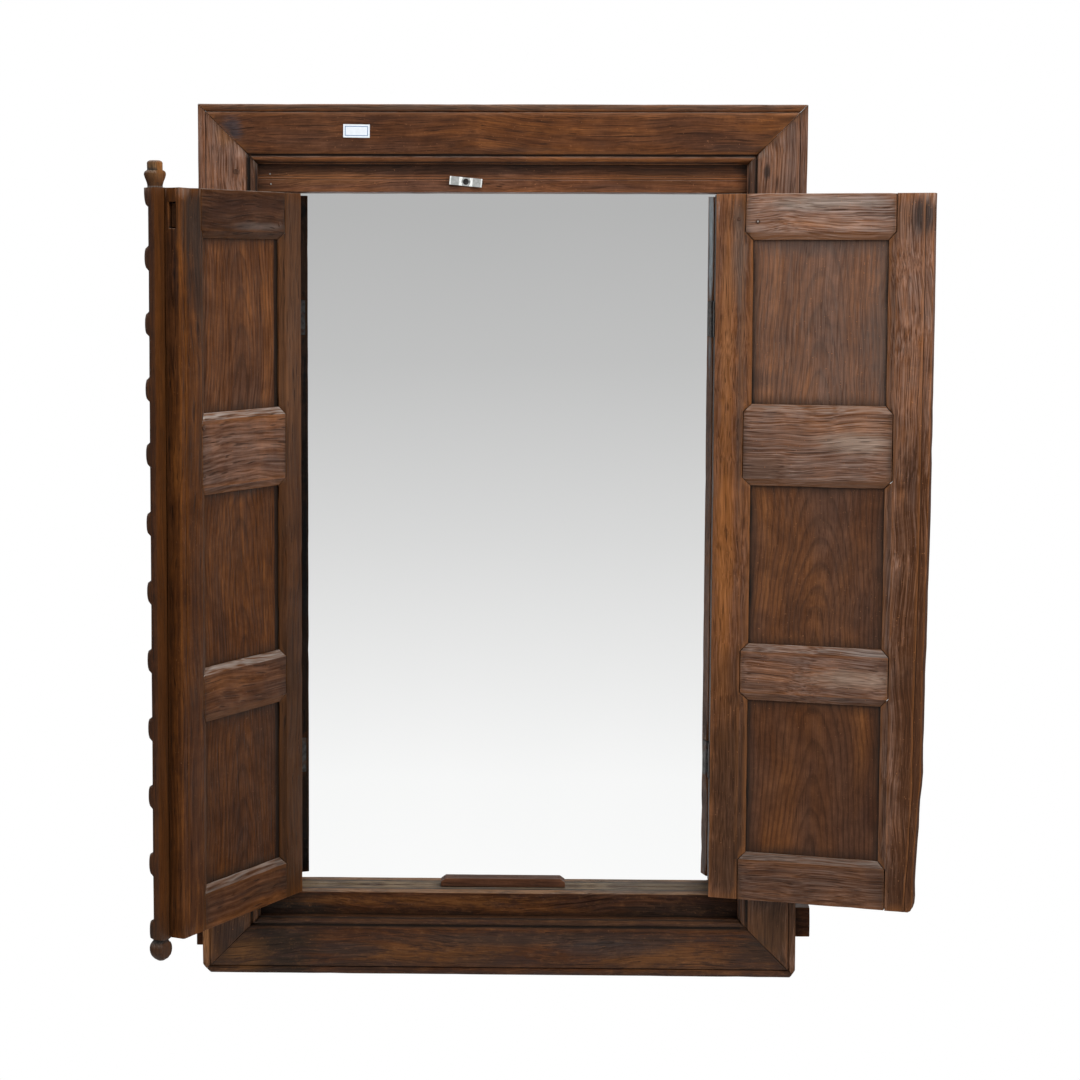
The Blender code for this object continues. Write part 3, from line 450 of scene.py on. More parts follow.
# Crisp near-black lines along the inner mouldings: painted shade and dark wax in their quirks.
dark_bead_line = front_mark(inner_bead, 0, 0.0050, 1.5, (0.020, 0.015, 0.014), 0.75, moulding_front, deep_mark)
corner_low_right = ((0.430, 0, -0.615), (0.78, 0, -0.62))
corner_low_left = ((-0.430, 0, -0.613), (-0.72, 0, -0.69))
thin_edge = ((0.433, -0.066, -0.03), (0.014, 0.03, 0.60), (-0.0030, 0, 0))
for side, upright, chips, spots, tone, bloom_and_sheen, dust_and_sheen, rub_and_highlight, blotches, marks in (
    ("top", False, (), (), 0.84, 0.0, 0.25, 0.5, 0.25, (
        front_mark(-0.3827, 0.589, 0.017, 0.020, (0.040, 0.035, 0.040), 0.75),
        front_mark(0.33, 0.565, 0.05, 0.006, (0.035, 0.018, 0.012), 0.6),
        front_mark(0.02, 0.562, 0.08, 0.005, (0.040, 0.020, 0.013), 0.5),
        front_mark(-0.02, 0.621, 0.5, 0.004, (0.060, 0.045, 0.034), 0.6),
    )),
    ("right", True, (corner_low_right,), (thin_edge,), 0.98, 0.45, 0.25, 0.3, 0.12, (
        # A near-black spot darkens the right moulding at its top corner.
        front_mark(0.3728, 0.5318, 0.006, 0.012, near_black, 0.85, deep=0.01),
        dark_bead_line,
        front_mark(0.385, -0.555, 0.07, 0.085, (0.085, 0.034, 0.011), 0.85, deep=deep_mark),
        front_mark(0.385, -0.50, 0.05, 0.035, (0.020, 0.012, 0.009), 0.8),
        front_mark(0.40, -0.56, 0.03, 0.06, (0.055, 0.024, 0.010), 0.8),
    )),
    ("bottom", False, (corner_low_right, corner_low_left), (), 0.52, 0.0, 0.0, 0.15, 0.75, (
        front_mark(-0.312, -0.590, 0.060, 0.09, (0.015, 0.009, 0.005), 0.9),
        front_mark(-0.38, -0.600, 0.05, 0.03, (0.150, 0.065, 0.020), 0.6),
        front_mark(-0.10, -0.594, 0.13, 0.018, (0.125, 0.048, 0.012), 0.6),
        front_mark(-0.22, -0.590, 0.05, 0.012, (0.030, 0.020, 0.016), 0.7),
        front_mark(0.02, -0.575, 0.16, 0.012, (0.120, 0.055, 0.025), 0.4),
        front_mark(0.26, -0.598, 0.14, 0.024, (0.120, 0.048, 0.015), 0.6),
        # A crisp dark line of painted shade and dark wax along the bottom moulding's bead.
        front_mark(0.02, -0.5495, 1.0, 0.0085, (0.040, 0.020, 0.011), 0.7, moulding_front, deep_mark),
        front_mark(0.10, -0.572, 0.30, 0.010, (0.020, 0.015, 0.013), 0.6),
        front_mark(0.16, -0.585, 0.09, 0.012, (0.026, 0.022, 0.022), 0.6),
        front_mark(-0.20, -0.612, 0.10, 0.008, (0.030, 0.016, 0.010), 0.6),
        front_mark(-0.02, -0.606, 0.06, 0.010, (0.034, 0.018, 0.011), 0.5),
        front_mark(0.37, -0.59, 0.05, 0.03, (0.018, 0.013, 0.010), 0.6),
    )),
    ("left", True, (corner_low_left,), (), 1.5, 0.5, 0.25, 0.15, 0.12, (
        front_mark(-0.392, 0.582, 0.016, 0.016, (0.250, 0.110, 0.040), 0.5),
        # Two crisp near-black lines of painted shade and dark wax in the left moulding's quirks.
        front_mark(-0.3588, 0, 0.0038, 1.5, (0.008, 0.007, 0.007), 0.95, moulding_front, deep_mark),
        front_mark(-0.3500, 0, 0.0052, 1.5, (0.012, 0.010, 0.010), 0.85, moulding_front, deep_mark),
        front_mark(-0.385, -0.555, 0.07, 0.10, (0.085, 0.034, 0.011), 0.9, deep=deep_mark),
        # A painted highlight: the outer bead at the left foot is painted bright orange where light falls on
        # it.
        front_mark(-0.426, -0.57, 0.010, 0.07, (0.300, 0.130, 0.045), 0.8, -0.066, deep_mark),
        front_mark(-0.40, -0.53, 0.02, 0.02, (0.170, 0.065, 0.018), 0.6),
        front_mark(-0.38, -0.57, 0.035, 0.03, (0.035, 0.020, 0.016), 0.7),
    )),
):
    node = "architrave_" + side
    length = aged_board(
        node, arris=0, wander=0.0005, dent=0.0012, seed=len(side), steps=(0.026, 0.011, 0.2),
        upright=upright, chips=chips, spots=spots
    )
    moulding_wood = old_wood(
        node, moulding_shades, upright=upright, tone=tone, bloom_and_sheen=bloom_and_sheen, dust_and_sheen=dust_and_sheen, rub_and_highlight=rub_and_highlight,
        blotches=blotches, marks=marks
    )
    dressed(length, moulding_wood)

# The old frame
# Head beam, sill beam and two jambs of weathered hardwood, tenoned together behind the architrave.
# The sill's worn horns stick out at the sides, and two fine grooves run along the lintel.

frame_front = -0.056
ledge_up = -0.508
frame_shades = ((0.052, 0.018, 0.006), (0.115, 0.039, 0.012), (0.190, 0.068, 0.021), (0.085, 0.040, 0.025))
for number, (node, upright, tone, lustre, bloom_and_sheen, blotches, marks) in enumerate((
    ("head_beam", False, 1.12, 0.18, 0.05, 0.2, (
        front_mark(-0.24, 0.524, 0.10, 0.013, (0.190, 0.078, 0.030), 0.65, frame_front),
        front_mark(0.24, 0.524, 0.10, 0.012, (0.075, 0.028, 0.009), 0.5, frame_front),
        front_mark(-0.12, 0.532, 1.0, 0.0042, (0.020, 0.010, 0.006), 0.5, frame_front),
    )),
    ("sill_beam", False, 0.46, 0.05, 0.0, 0.8, (
        front_mark(0.0, ledge_up, 1.0, 0.012, (0.205, 0.138, 0.068), 0.8, -0.020, 0.011),
        front_mark(0.0, -0.5055, 1.0, 0.0048, (0.255, 0.125, 0.050), 0.75, -0.047, 0.014),
        front_mark(0.0, ledge_up, 1.0, 0.010, (0.010, 0.008, 0.007), 1.0, -0.034, 0.0030),
        front_mark(0.20, ledge_up, 0.10, 0.010, (0.060, 0.050, 0.036), 0.6, -0.030, deep_mark),
        front_mark(-0.30, -0.53, 0.08, 0.03, (0.014, 0.012, 0.010), 0.85, frame_front),
        front_mark(-0.12, -0.522, 0.20, 0.009, (0.125, 0.048, 0.014), 0.75, frame_front),
        front_mark(0.05, -0.534, 0.12, 0.006, (0.110, 0.040, 0.012), 0.6, frame_front),
        front_mark(0.26, -0.535, 0.13, 0.02, (0.020, 0.014, 0.011), 0.7, frame_front),
    )),
    # The jambs' low tones, the left one lowest, paint the shade inside the reveals.
    ("jamb_left", True, 0.3, 0.18, 0.0, 0.2, ()),
    ("jamb_right", True, 0.45, 0.18, 0.0, 0.2, ()),
)):
    beam = aged_board(
        node, arris=0.0012, wander=0.0005, seed=11 + number, steps=(0.03, 0.013, 0.013), upright=upright
    )
    beam_wood = old_wood(
        node, frame_shades, upright=upright, tone=tone, bloom_and_sheen=bloom_and_sheen, grime_and_shade=0.6, lustre=lustre,
        blotches=blotches, marks=marks
    )
    dressed(beam, beam_wood)

# Pegs, nails and the label
# Wooden pegs driven through the joints and cut off flush, small nail heads, and a blank paper
# label stuck on the architrave.

shank = 0.002
peg_weld = 0.00002


def driven(name, body, centre, facing, radius, rise, finish, hole=0.0):
    """A round peg or nail head: a turned dome standing out of the wood, with a dimple if it has a hole."""
    profile = [(0, rise - hole), (radius * 0.35, rise - hole * 0.8), (radius * 0.6, rise),
               (radius * 0.85, rise * 0.7), (radius, 0), (radius, -shank), (0, -shank)]
    head = bmesh.new()
    line = [head.verts.new((out, 0, up)) for out, up in profile]
    edges = [head.edges.new(pair) for pair in zip(line, line[1:])]
    bmesh.ops.spin(head, geom=line + edges, cent=(0, 0, 0), axis=(0, 0, 1), angle=math.tau, steps=20,
                   use_merge=True)
    bmesh.ops.remove_doubles(head, verts=head.verts, dist=peg_weld)
    bmesh.ops.recalc_face_normals(head, faces=head.faces)
    head.transform(Matrix.Translation(centre) @ Vector(facing).to_track_quat("Z", "Y").to_matrix().to_4x4())
    peg = as_piece(name, head)
    peg.data.shade_smooth()
    peg.data.materials.append(finish)
    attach(peg, body)


def clouded(name, low, high, size, rough, metal):
    """A plain small-part finish: two shades clouded together, with a fine bump."""
    finish, tree, shader = new_finish(name)
    place = add(tree, "TexCoord").outputs["Object"]
    placed = add(tree, "Mapping", {"Vector": place, "Scale": grey(size)}).outputs[0]
    cloud = speckled(tree, placed, 1.0, 6.0, 0.7)
    tree.links.new(ramp(tree, cloud, ((0.32, low), (0.68, high))), shader.inputs["Base Color"])
    dull = ranged(tree, cloud, 0.3, 0.7, rough + 0.12, rough - 0.08)
    tree.links.new(dull, shader.inputs["Roughness"])
    shader.inputs["Metallic"].default_value = metal
    relief = add(tree, "Bump", {"Height": cloud, "Strength": 0.4, "Distance": 0.0003})
    tree.links.new(relief.outputs[0], shader.inputs["Normal"])
    return finish


peg_wood = clouded("peg_end_grain", (0.030, 0.012, 0.007), (0.085, 0.036, 0.016), 420.0, 0.6, 0.0)
bright_nail = clouded("rubbed_nail", (0.30, 0.28, 0.26), (0.65, 0.62, 0.58), 300.0, 0.35, 0.9)
left_way, right_way, front_way = (0.891, -0.454, 0), (-0.279, -0.960, 0), (0, -1, 0)
left_leaf, right_leaf = "left_shutter", "right_shutter"
for name, body, centre, facing, radius, rise, finish, hole in (
    ("architrave_peg", "frame", (-0.3759, -0.0736, 0.5309), front_way, 0.0042, 0.0006, peg_wood, 0.0003),
    ("lintel_nail_upper", "frame", (-0.3294, -0.0554, 0.5282), front_way, 0.0013, 0.0006, bright_nail, 0),
    ("lintel_nail_lower", "frame", (-0.3281, -0.0554, 0.5141), front_way, 0.0013, 0.0006, bright_nail, 0),
    ("left_top_peg", left_leaf, (-0.3094, -0.1233, 0.4565), left_way, 0.0036, 0.0009, peg_wood, 0.0004),
    ("left_upper_peg", left_leaf, (-0.3969, -0.2952, 0.1816), left_way, 0.0030, 0.0008, peg_wood, 0.0004),
    ("left_lower_peg", left_leaf, (-0.3962, -0.2937, 0.1169), left_way, 0.0030, 0.0008, peg_wood, 0.0004),
    ("right_top_nail", right_leaf, (0.3584, -0.1025, 0.4621), right_way, 0.0032, 0.0009, peg_wood, 0.0005),
    ("right_top_nail_core", right_leaf, (0.3583, -0.1029, 0.4621), right_way, 0.0014, 0.0008, bright_nail, 0),
    ("right_stile_peg", right_leaf, (0.3325, -0.0950, 0.4656), right_way, 0.0028, 0.0005, peg_wood, 0.0004),
):
    driven(name, body, centre, facing, radius, rise, finish, hole)

paper = clouded("label_paper", (0.66, 0.71, 0.76), (0.76, 0.80, 0.84), 260.0, 0.6, 0.0)
ink = clouded("label_border", (0.10, 0.19, 0.34), (0.16, 0.26, 0.42), 500.0, 0.6, 0.0)
label_wide, label_high, paper_thickness = 0.0375, 0.0185, 0.0002
paper_margin, border_line = 0.0024, 0.0010
slip = bmesh.new()
bmesh.ops.create_grid(slip, x_segments=1, y_segments=1, size=0.5)
slip.transform(
    Matrix.Translation((-0.2054, -0.0742, 0.5880)) @ Matrix.Rotation(math.radians(0.8), 4, "Y")
    @ Matrix.Rotation(math.radians(90), 4, "X") @ Matrix.Diagonal((label_wide, label_high, 1, 1))
)
slip.normal_update()
for width, shade in ((paper_margin, 0), (border_line, 1)):
    inner = [side for side in slip.faces if not any(edge.is_boundary for edge in side.edges)]
    inset = bmesh.ops.inset_region(slip, faces=inner or slip.faces[:], thickness=width, use_even_offset=True,
                                   use_boundary=True)
    for side in inset["faces"]:
        side.material_index = shade
label = as_piece("blank_label", slip)
label.data.materials.append(paper)
label.data.materials.append(ink)
thick = label.modifiers.new("paper_thickness", "SOLIDIFY")
thick.thickness = paper_thickness
thick.offset = 1
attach(label, "frame")

# Glass and backing
# A sheet of silvered glass lies in the rebate behind the old opening, with a plywood board
# behind it; a low block on the sill keeps the closing shutters off the glass.


def refinished(node, finish):
    """Gives a piece of the frame its finish, in place of the plain one."""
    materials = frame["nodes"][node].data.materials
    materials.clear()
    materials.append(finish)


silvered, tree, shader = new_finish("silvered_glass_finish")
glass_place = add(tree, "TexCoord").outputs["Object"]
glass_laid = add(tree, "Mapping", {"Vector": glass_place, "Scale": (5.0, 5.0, 3.0)}).outputs[0]
glass_cloud = add(tree, "TexNoise", {"Vector": glass_laid, "Scale": 1.0, "Detail": 3.0}).outputs["Fac"]
glass_tone = ramp(tree, glass_cloud, ((0.3, (0.960, 0.966, 0.963)), (0.7, (0.970, 0.974, 0.971))))
tree.links.new(glass_tone, shader.inputs["Base Color"])
tree.links.new(ranged(tree, glass_cloud, 0.3, 0.7, 0.008, 0.012), shader.inputs["Roughness"])
shader.inputs["Metallic"].default_value = 1.0
refinished("mirror_glass", silvered)

ply_shades = ((0.30, 0.20, 0.11), (0.42, 0.30, 0.18), (0.50, 0.38, 0.25), (0.38, 0.29, 0.20))
plywood = old_wood("backing_board", ply_shades, figure=0.2, grime_and_shade=0.1, rub_and_highlight=0, gloss=0.6)
refinished("backing_board", plywood)

block_shades = ((0.042, 0.016, 0.009), (0.085, 0.032, 0.014), (0.130, 0.050, 0.022), (0.060, 0.030, 0.022))
block = aged_board(
    "stop_block", arris=0.0008, wander=0.0003, dent=0.0008, seed=21, steps=(0.02, 0.01, 0.01), upright=False
)
dressed(block, old_wood("stop_block", block_shades, upright=False, dust_and_sheen=0.1))

# Iron fittings
# Hand-finished butt hinges let into the jambs and the shutters, and two cranked keyhole
# plates on the back of the jambs, all of dark iron with dull, rubbed edges.


def dark_iron(name):
    """Old iron: dark and light clouds of wear, and brown rust in patches."""
    finish, tree, shader = new_finish(name)
    place = add(tree, "TexCoord").outputs["Object"]
    cloud = speckled(tree, place, 160.0, 6.0, 0.7)
    rust = speckled(tree, place, 45.0, 4.0, 0.5)
    steel = ramp(tree, cloud, ((0.3, (0.030, 0.027, 0.026)), (0.7, (0.095, 0.090, 0.088))))
    rusty = ramp(tree, rust, ((0.52, grey(0)), (0.68, grey(1))))
    tree.links.new(blended(tree, rusty, steel, (0.085, 0.036, 0.018)), shader.inputs["Base Color"])
    tree.links.new(ramp(tree, cloud, ((0.3, grey(0.62)), (0.7, grey(0.36)))), shader.inputs["Roughness"])
    shader.inputs["Metallic"].default_value = 0.85
    relief = add(tree, "Bump", {"Height": cloud, "Strength": 0.4, "Distance": 0.0003})
    tree.links.new(relief.outputs[0], shader.inputs["Normal"])
    return finish


iron = dark_iron("dark_iron_finish")
iron_pieces = ("hinge_jamb_plate", "hinge_leaf_plate", "hinge_pin", "hanger", "turn_button_screw")
for node in frame["nodes"]:
    if any(piece in node for piece in iron_pieces):
        refinished(node, iron)

# The turn button
# A cranked strip of bright plated steel that turns on a dark round-headed screw.
# It was bent cold and plated, and its faces are clouded by hands.

plating, tree, shader = new_finish("bright_plating")
plate_place = add(tree, "TexCoord").outputs["Object"]
plate_cloud = add(tree, "TexNoise", {"Vector": plate_place, "Scale": 220.0, "Detail": 5.0}).outputs["Fac"]
plate_tone = ramp(tree, plate_cloud, ((0.35, (0.74, 0.76, 0.73)), (0.6, (0.90, 0.91, 0.89))))
tree.links.new(plate_tone, shader.inputs["Base Color"])
shader.inputs["Metallic"].default_value = 1.0
shader.inputs["Roughness"].default_value = 0.13
refinished("turn_button", plating)

# The shutters
# Each leaf has two stiles and four rails of hardwood, chamfered and mitred at the shoulders,
# pegged through their tenons, round three flat panels. The right one is paler, with more grey bloom and
# painted sheen.

left_turn = math.radians(-117.0)
right_turn = math.radians(-16.2)
left_shades = ((0.056, 0.018, 0.004), (0.118, 0.038, 0.008), (0.195, 0.068, 0.015), (0.088, 0.036, 0.017))
right_shades = ((0.060, 0.021, 0.007), (0.125, 0.043, 0.012), (0.205, 0.076, 0.021), (0.094, 0.043, 0.025))
left_looks = {
    "hinge_stile": (0.49, 0.03), "free_stile": (0.66, 0.0), "top_rail": (0.45, 0.05),
    "upper_mid_rail": (1.1, 0.3), "lower_mid_rail": (0.72, 0.1), "bottom_rail": (0.62, 0.05),
    "upper_panel": (0.9, 0.08), "middle_panel": (0.75, 0.0), "lower_panel": (0.6, 0.0),
}
right_looks = {
    "hinge_stile": (1.12, 0.15), "free_stile": (1.15, 0.45), "top_rail": (1.15, 0.8),
    "upper_mid_rail": (0.98, 0.55), "lower_mid_rail": (1.1, 0.45), "bottom_rail": (0.65, 0.25),
    "upper_panel": (1.05, 0.45), "middle_panel": (0.86, 0.1), "lower_panel": (0.78, 0.0),
}
panel_shadow = (0.012, 0.006, 0.004)
leaf_marks = {
    "left_free_stile": (
        ((-0.392, -0.285, 0.40), (0.030, 0.050, 0.16), (0.045, 0.026, 0.018), 0.65),
        ((-0.411, -0.323, 0.452), (0.024, 0.038, 0.075), (0.028, 0.017, 0.012), 0.8),
        ((-0.428, -0.357, 0.420), (0.006, 0.02, 0.090), (0.014, 0.010, 0.010), 0.9),
        ((-0.436, -0.372, 0.185), (0.006, 0.02, 0.030), (0.016, 0.012, 0.012), 0.8),
        ((-0.411, -0.323, -0.30), (0.020, 0.04, 0.20), (0.045, 0.018, 0.010), 0.5),
    ),
    "left_top_rail": (
        ((-0.345, -0.19, 0.478), (0.09, 0.12, 0.018), (0.034, 0.014, 0.008), 0.7),
        # A painted sheen: a pale grey patch on the rail's lower half.
        ((-0.33, -0.165, 0.452), (0.05, 0.10, 0.007), (0.150, 0.120, 0.105), 0.35),
    ),
    "left_hinge_stile": (
        # Painted shade: a near-black line on the stile's hinge edge by the glass, which also shows dark in
        # the mirror.
        ((-0.2905, -0.0695, 0), (0.0090, 0.0048, 1.5), (0.004, 0.005, 0.006), 1.0),
        ((-0.30, -0.10, 0.33), (0.04, 0.05, 0.28), (0.150, 0.070, 0.035), 0.4),
        ((-0.30, -0.10, -0.34), (0.04, 0.05, 0.34), (0.050, 0.020, 0.007), 0.7),
    ),
    "left_bottom_rail": (((-0.33, -0.13, -0.48), (0.10, 0.10, 0.012), (0.028, 0.020, 0.016), 0.5),),
    "left_upper_panel": (((-0.31, -0.1185, 0.35), (1.0, 0.0050, 1.0), panel_shadow, 0.9),),
    "left_middle_panel": (((-0.31, -0.1190, 0.0), (1.0, 0.0045, 1.0), panel_shadow, 0.9),),
    "left_lower_panel": (((-0.31, -0.1195, -0.35), (1.0, 0.0040, 1.0), panel_shadow, 0.8),),
    "right_hinge_stile": (
        ((0.3045, -0.0735, 1.33), (0.0135, 0.0190, 1.0), (0.520, 0.620, 0.680), 0.95),
        ((0.338, -0.097, 0.25), (0.007, 0.03, 0.24), (0.085, 0.052, 0.038), 0.6),
        ((0.333, -0.095, 0.44), (0.012, 0.03, 0.10), (0.110, 0.082, 0.066), 0.5),
        ((0.318, -0.09, 0.30), (0.010, 0.03, 0.16), (0.250, 0.105, 0.040), 0.55),
        ((0.318, -0.09, -0.02), (0.014, 0.03, 0.24), (0.250, 0.090, 0.022), 0.7),
        ((0.33, -0.09, -0.38), (0.05, 0.03, 0.22), (0.050, 0.020, 0.007), 0.75),
    ),
    "right_free_stile": (
        ((0.583, -0.167, 0.47), (0.022, 0.03, 0.03), (0.040, 0.034, 0.032), 0.75),
        ((0.570, -0.163, 0.10), (0.012, 0.03, 0.05), (0.030, 0.020, 0.018), 0.5),
        ((0.59, -0.165, -0.30), (0.06, 0.06, 0.60), (0.058, 0.020, 0.006), 0.92),
    ),
    # A painted sheen: a pale greyish-pink band along the top rail.
    "right_top_rail": (((0.44, -0.125, 0.488), (0.10, 0.04, 0.012), (0.30, 0.25, 0.21), 0.5),),
    "right_upper_mid_rail": (
        # A painted sheen: a pale greyish-pink band along the rail.
        ((0.50, -0.140, 0.155), (0.07, 0.03, 0.018), (0.310, 0.240, 0.190), 0.55),
        ((0.38, -0.105, 0.115), (0.05, 0.02, 0.022), (0.085, 0.045, 0.028), 0.6),
    ),
    "right_lower_mid_rail": (
        # A painted sheen: a pale greyish-pink band along the rail.
        ((0.50, -0.140, -0.178), (0.08, 0.03, 0.014), (0.280, 0.200, 0.150), 0.5),
        ((0.38, -0.105, -0.195), (0.05, 0.02, 0.012), (0.080, 0.040, 0.024), 0.5),
    ),
    "right_upper_panel": (
        ((0.36, -0.10, 0.24), (0.05, 0.02, 0.02), (0.04, 0.03, 0.028), 0.5),
        ((0.535, -0.15, 0.32), (0.03, 0.03, 0.13), (0.095, 0.072, 0.062), 0.5),
        ((0.44, -0.125, 0.430), (0.12, 0.04, 0.018), (0.085, 0.058, 0.048), 0.5),
    ),
}
worn_foot = {"right_free_stile": (
    ((0.596, -0.168, -0.52), (0.030, 0.06, 0.62), (-0.0040, 0.0012, 0)),
    ((0.600, -0.168, -0.57), (0.040, 0.06, 0.27), (-0.0095, 0.0027, 0)),
)}
broken_foot = {"right_free_stile": (
    ((0.5990, -0.155, -0.4940), (0.90, -0.26, -0.35)),
    ((0.5930, -0.155, -0.5040), (0.48, -0.14, -0.87)),
)}
board_arris = 0.0014
tight_arris = {"right_lower_mid_rail": 0.0007}


def shutter_piece(node, number, turn):
    """A worn stile, rail or panel of a leaf."""
    flat = "panel" in node
    arris = 0 if flat else tight_arris.get(node, board_arris)
    return aged_board(
        node, arris=arris, wander=0.0003 if flat else 0.0006, seed=number,
        steps=(0.014, 0.004, 0.2) if flat else (0.02, 0.011, 0.012), turn=turn, upright="rail" not in node,
        chips=broken_foot.get(node, ()), spots=worn_foot.get(node, ())
    )


def shutter_wood(node, turn, shades, tone, bloom_and_sheen, fine_grain, coarse, lustre, rail_dust_and_sheen):
    """The wood of a stile or a rail, or of a panel, which shows bolder rings and no cracks."""
    shared = dict(
        turn=turn, upright="rail" not in node, tone=tone, bloom_and_sheen=bloom_and_sheen, coarse=coarse, lustre=lustre,
        marks=leaf_marks.get(node, ())
    )
    if "panel" in node:
        return old_wood(
            node, shades, figure=0.5, ring=0.0066, tilt=8, heart=(0.035, 0.0), grime_and_shade=0.75, dust_and_sheen=0.2,
            cracks=0.0, grain=fine_grain, **shared
        )
    # Stiles get the least settled dust and painted sheen, and each leaf sets its mid rails' share.
    dust_and_sheen = 0.2 if "stile" in node else rail_dust_and_sheen if "mid" in node else 0.5
    return old_wood(node, shades, figure=0.2, dust_and_sheen=dust_and_sheen, **shared)


for word, turn, first, shades, looks, fine_grain, coarse, lustre, rail_dust_and_sheen in (
    ("left", left_turn, 31, left_shades, left_looks, 1.0, 2.3, 0.1, 1.2),
    ("right", right_turn, 61, right_shades, right_looks, 0.4, 1.0, 0.15, 0.5),
):
    for number, (name, (tone, bloom_and_sheen)) in enumerate(looks.items()):
        node = f"{word}_{name}"
        wood = shutter_wood(node, turn, shades, tone, bloom_and_sheen, fine_grain, coarse, lustre, rail_dust_and_sheen)
        dressed(shutter_piece(node, first + number, turn), wood)

# The astragal
# The dark bossed cover strip on the front of the left shutter's free stile, turned at its ends.
# It was carved from one length of hardwood; it is nearly black, and black wax and painted shade darken it
# further between the bosses.

strip_shades = ((0.034, 0.011, 0.004), (0.078, 0.024, 0.006), (0.140, 0.048, 0.010), (0.056, 0.024, 0.014))
knob_marks = (
    ((-0.452, -0.345, 0.534), (0.03, 0.03, 0.030), (0.120, 0.075, 0.036), 0.6),
    ((-0.445, -0.352, 0.530), (0.010, 0.03, 0.018), (0.300, 0.110, 0.022), 0.65),
    ((-0.452, -0.345, -0.525), (0.04, 0.04, 0.045), (0.018, 0.013, 0.010), 0.8),
)
knob_spot = ((-0.4557, -0.3494, 0.532), (0.02, 0.02, 0.020), (-0.0016, 0.0012, 0))
strip = aged_board(
    "astragal", arris=0, wander=0.0006, dent=0.0014, seed=91, steps=(0.03, 0.2, 0.2), turn=left_turn,
    spots=(knob_spot,)
)
strip_wood = old_wood("astragal", strip_shades, turn=left_turn, tone=0.62, grime_and_shade=0.8, marks=knob_marks)
dressed(strip, strip_wood)

# Floor, light and camera
# A pale floor well below the hanging frame, large soft lamps above and in front, and the
# camera a little left of the middle and above it, tipped down.

floor_middle, floor_half_size = (0, -0.4, -1.35), 2.0
floor_shape = bmesh.new()
bmesh.ops.create_grid(floor_shape, x_segments=1, y_segments=1, size=floor_half_size,
                      matrix=Matrix.Translation(floor_middle))
floor = as_piece("floor", floor_shape)
floor_finish, tree, shader = new_finish("pale_floor")
shader.inputs["Base Color"].default_value = (*grey(0.9), 1)
shader.inputs["Roughness"].default_value = 0.9
floor.data.materials.append(floor_finish)

world = bpy.data.worlds.new("studio")
bpy.context.scene.world = world
world.use_nodes = True
sky = world.node_tree
sky.nodes.clear()
way = add(sky, "SeparateXYZ", {0: add(sky, "TexCoord").outputs["Generated"]}).outputs
white = (1, 1, 1, 1)

# What the mirror and the metal show: the room before them, paler downwards, its bright walls at
# the sides, and what lies behind, dim low down and bright above.
ahead_tones = ((0.0, 1.0), (0.18, 0.96), (0.48, 0.715), (0.71, 0.55), (0.90, 0.475), (1.0, 0.46))
rear_tones = ((0.0, 0.12), (0.3, 0.5), (0.7, 1.6))
side_tone = 1.1
ahead = ramp(sky, ranged(sky, way["Z"], -0.25, 0.05), [(stop, grey(tone)) for stop, tone in ahead_tones])
rear = ramp(sky, ranged(sky, way["Z"], 0.0, 0.5), [(stop, grey(tone)) for stop, tone in rear_tones])
sideways = add(sky, "Math", {0: way["X"]}, operation="ABSOLUTE").outputs[0]
level = add(sky, "Math", {0: way["Z"]}, operation="ABSOLUTE").outputs[0]
beside = times(sky, ranged(sky, sideways, 0.70, 0.85), ranged(sky, level, 0.30, 0.15))
room = blended(sky, beside, ahead, grey(side_tone))
room = blended(sky, ranged(sky, way["Y"], -0.25, -0.1), room, rear)
reflected = add(sky, "Background", {"Color": room, "Strength": 1.0})

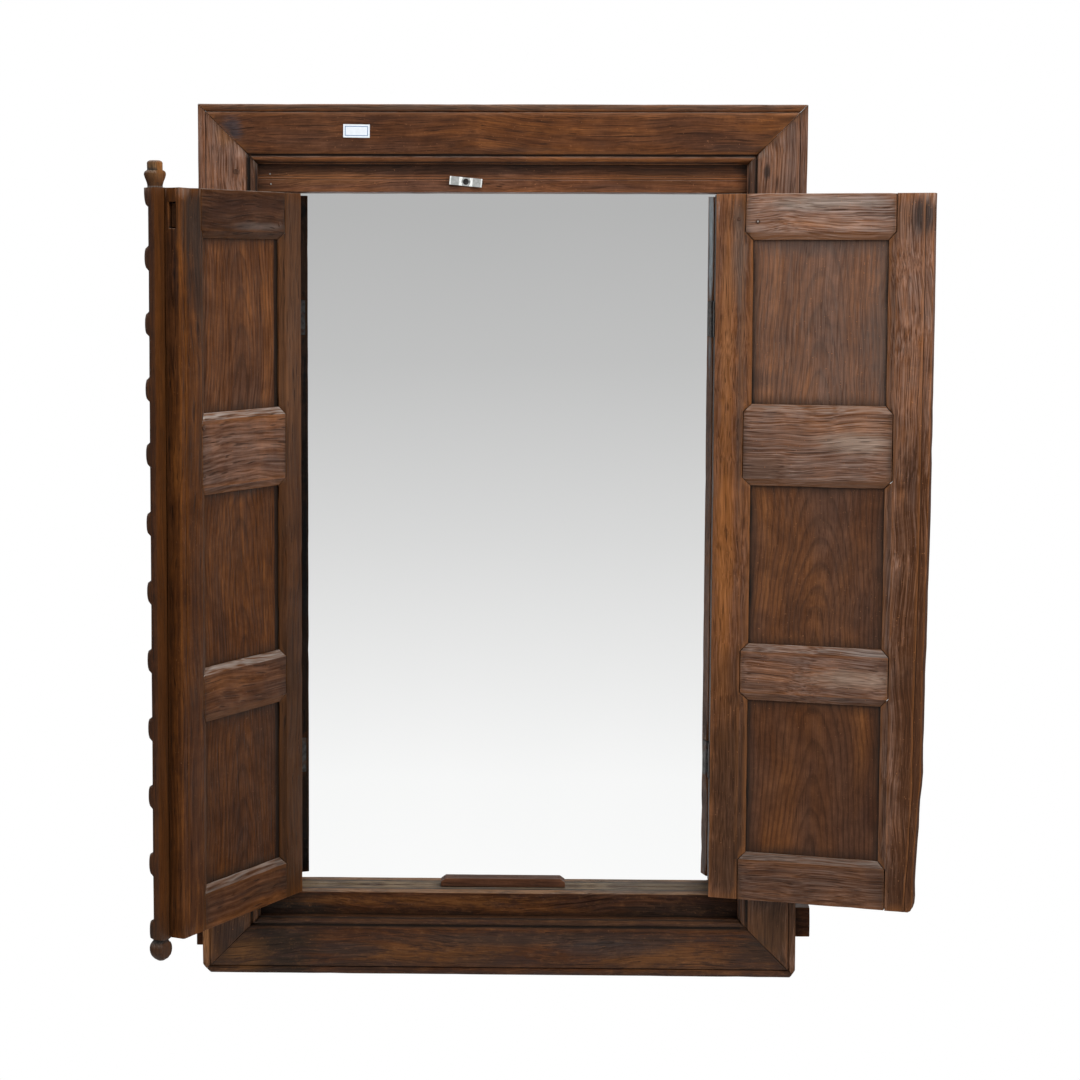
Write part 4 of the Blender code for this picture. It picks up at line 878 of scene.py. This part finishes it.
# What lights the object, stronger from above, and the white ground that the camera sees.
fill = add(sky, "Background", {"Color": white, "Strength": ranged(sky, way["Z"], -0.5, 0.7, 0.10, 0.50)})
backdrop = add(sky, "Background", {"Color": white, "Strength": 1.0})
paths = add(sky, "LightPath").outputs
lit = add(sky, "MixShader", {0: paths["Is Glossy Ray"], 1: fill.outputs[0], 2: reflected.outputs[0]})
direct = {0: paths["Is Camera Ray"], 1: paths["Is Transmission Ray"]}
straight = add(sky, "Math", direct, operation="MAXIMUM").outputs[0]
seen = add(sky, "MixShader", {0: straight, 1: lit.outputs[0], 2: backdrop.outputs[0]})
add(sky, "OutputWorld", {"Surface": seen.outputs[0]})

lamp_target = Vector((0, -0.1, 0))
for name, place, size, power in (
    ("overhead_soft", (0.4, -1.7, 2.3), 1.6, 58.0),
    ("right_soft", (2.1, -2.4, 1.4), 1.3, 46.0),
    ("left_soft", (-2.0, -2.4, 1.3), 1.8, 5.0),
):
    lamp = bpy.data.lights.new(name, "AREA")
    lamp.shape = "SQUARE"
    lamp.size = size
    lamp.energy = power
    lamp_object = bpy.data.objects.new(name, lamp)
    bpy.context.scene.collection.objects.link(lamp_object)
    lamp_object.location = place
    lamp_object.rotation_euler = (lamp_target - Vector(place)).to_track_quat("-Z", "Y").to_euler()
    lamp_object.visible_glossy = False

photo_pixels = 1080
focal_pixels = 2590.187
axis_across_pixels, axis_down_pixels = 451.774, 503.008
sensor_width = 36.0
camera_place = (0.01537, -3.75427, 0.40061)
camera_turn, camera_tip, camera_roll = (math.radians(degrees) for degrees in (1.32, -5.256, -0.168))
lens = bpy.data.cameras.new("view")
lens.sensor_width = sensor_width
lens.lens = focal_pixels * sensor_width / photo_pixels
lens.shift_x = (photo_pixels / 2 - axis_across_pixels) / photo_pixels
lens.shift_y = (axis_down_pixels - photo_pixels / 2) / photo_pixels
camera = bpy.data.objects.new("view", lens)
bpy.context.scene.collection.objects.link(camera)
turned, tipped, rolled = (
    Euler(angles).to_matrix() for angles in ((0, 0, camera_turn), (camera_tip, 0, 0), (0, camera_roll, 0))
)
facing_wall = Matrix.Rotation(math.radians(90), 3, "X")
camera.matrix_world = Matrix.Translation(camera_place) @ (turned @ tipped @ rolled @ facing_wall).to_4x4()
bpy.context.scene.camera = camera
bpy.context.scene.view_settings.view_transform = "Standard"
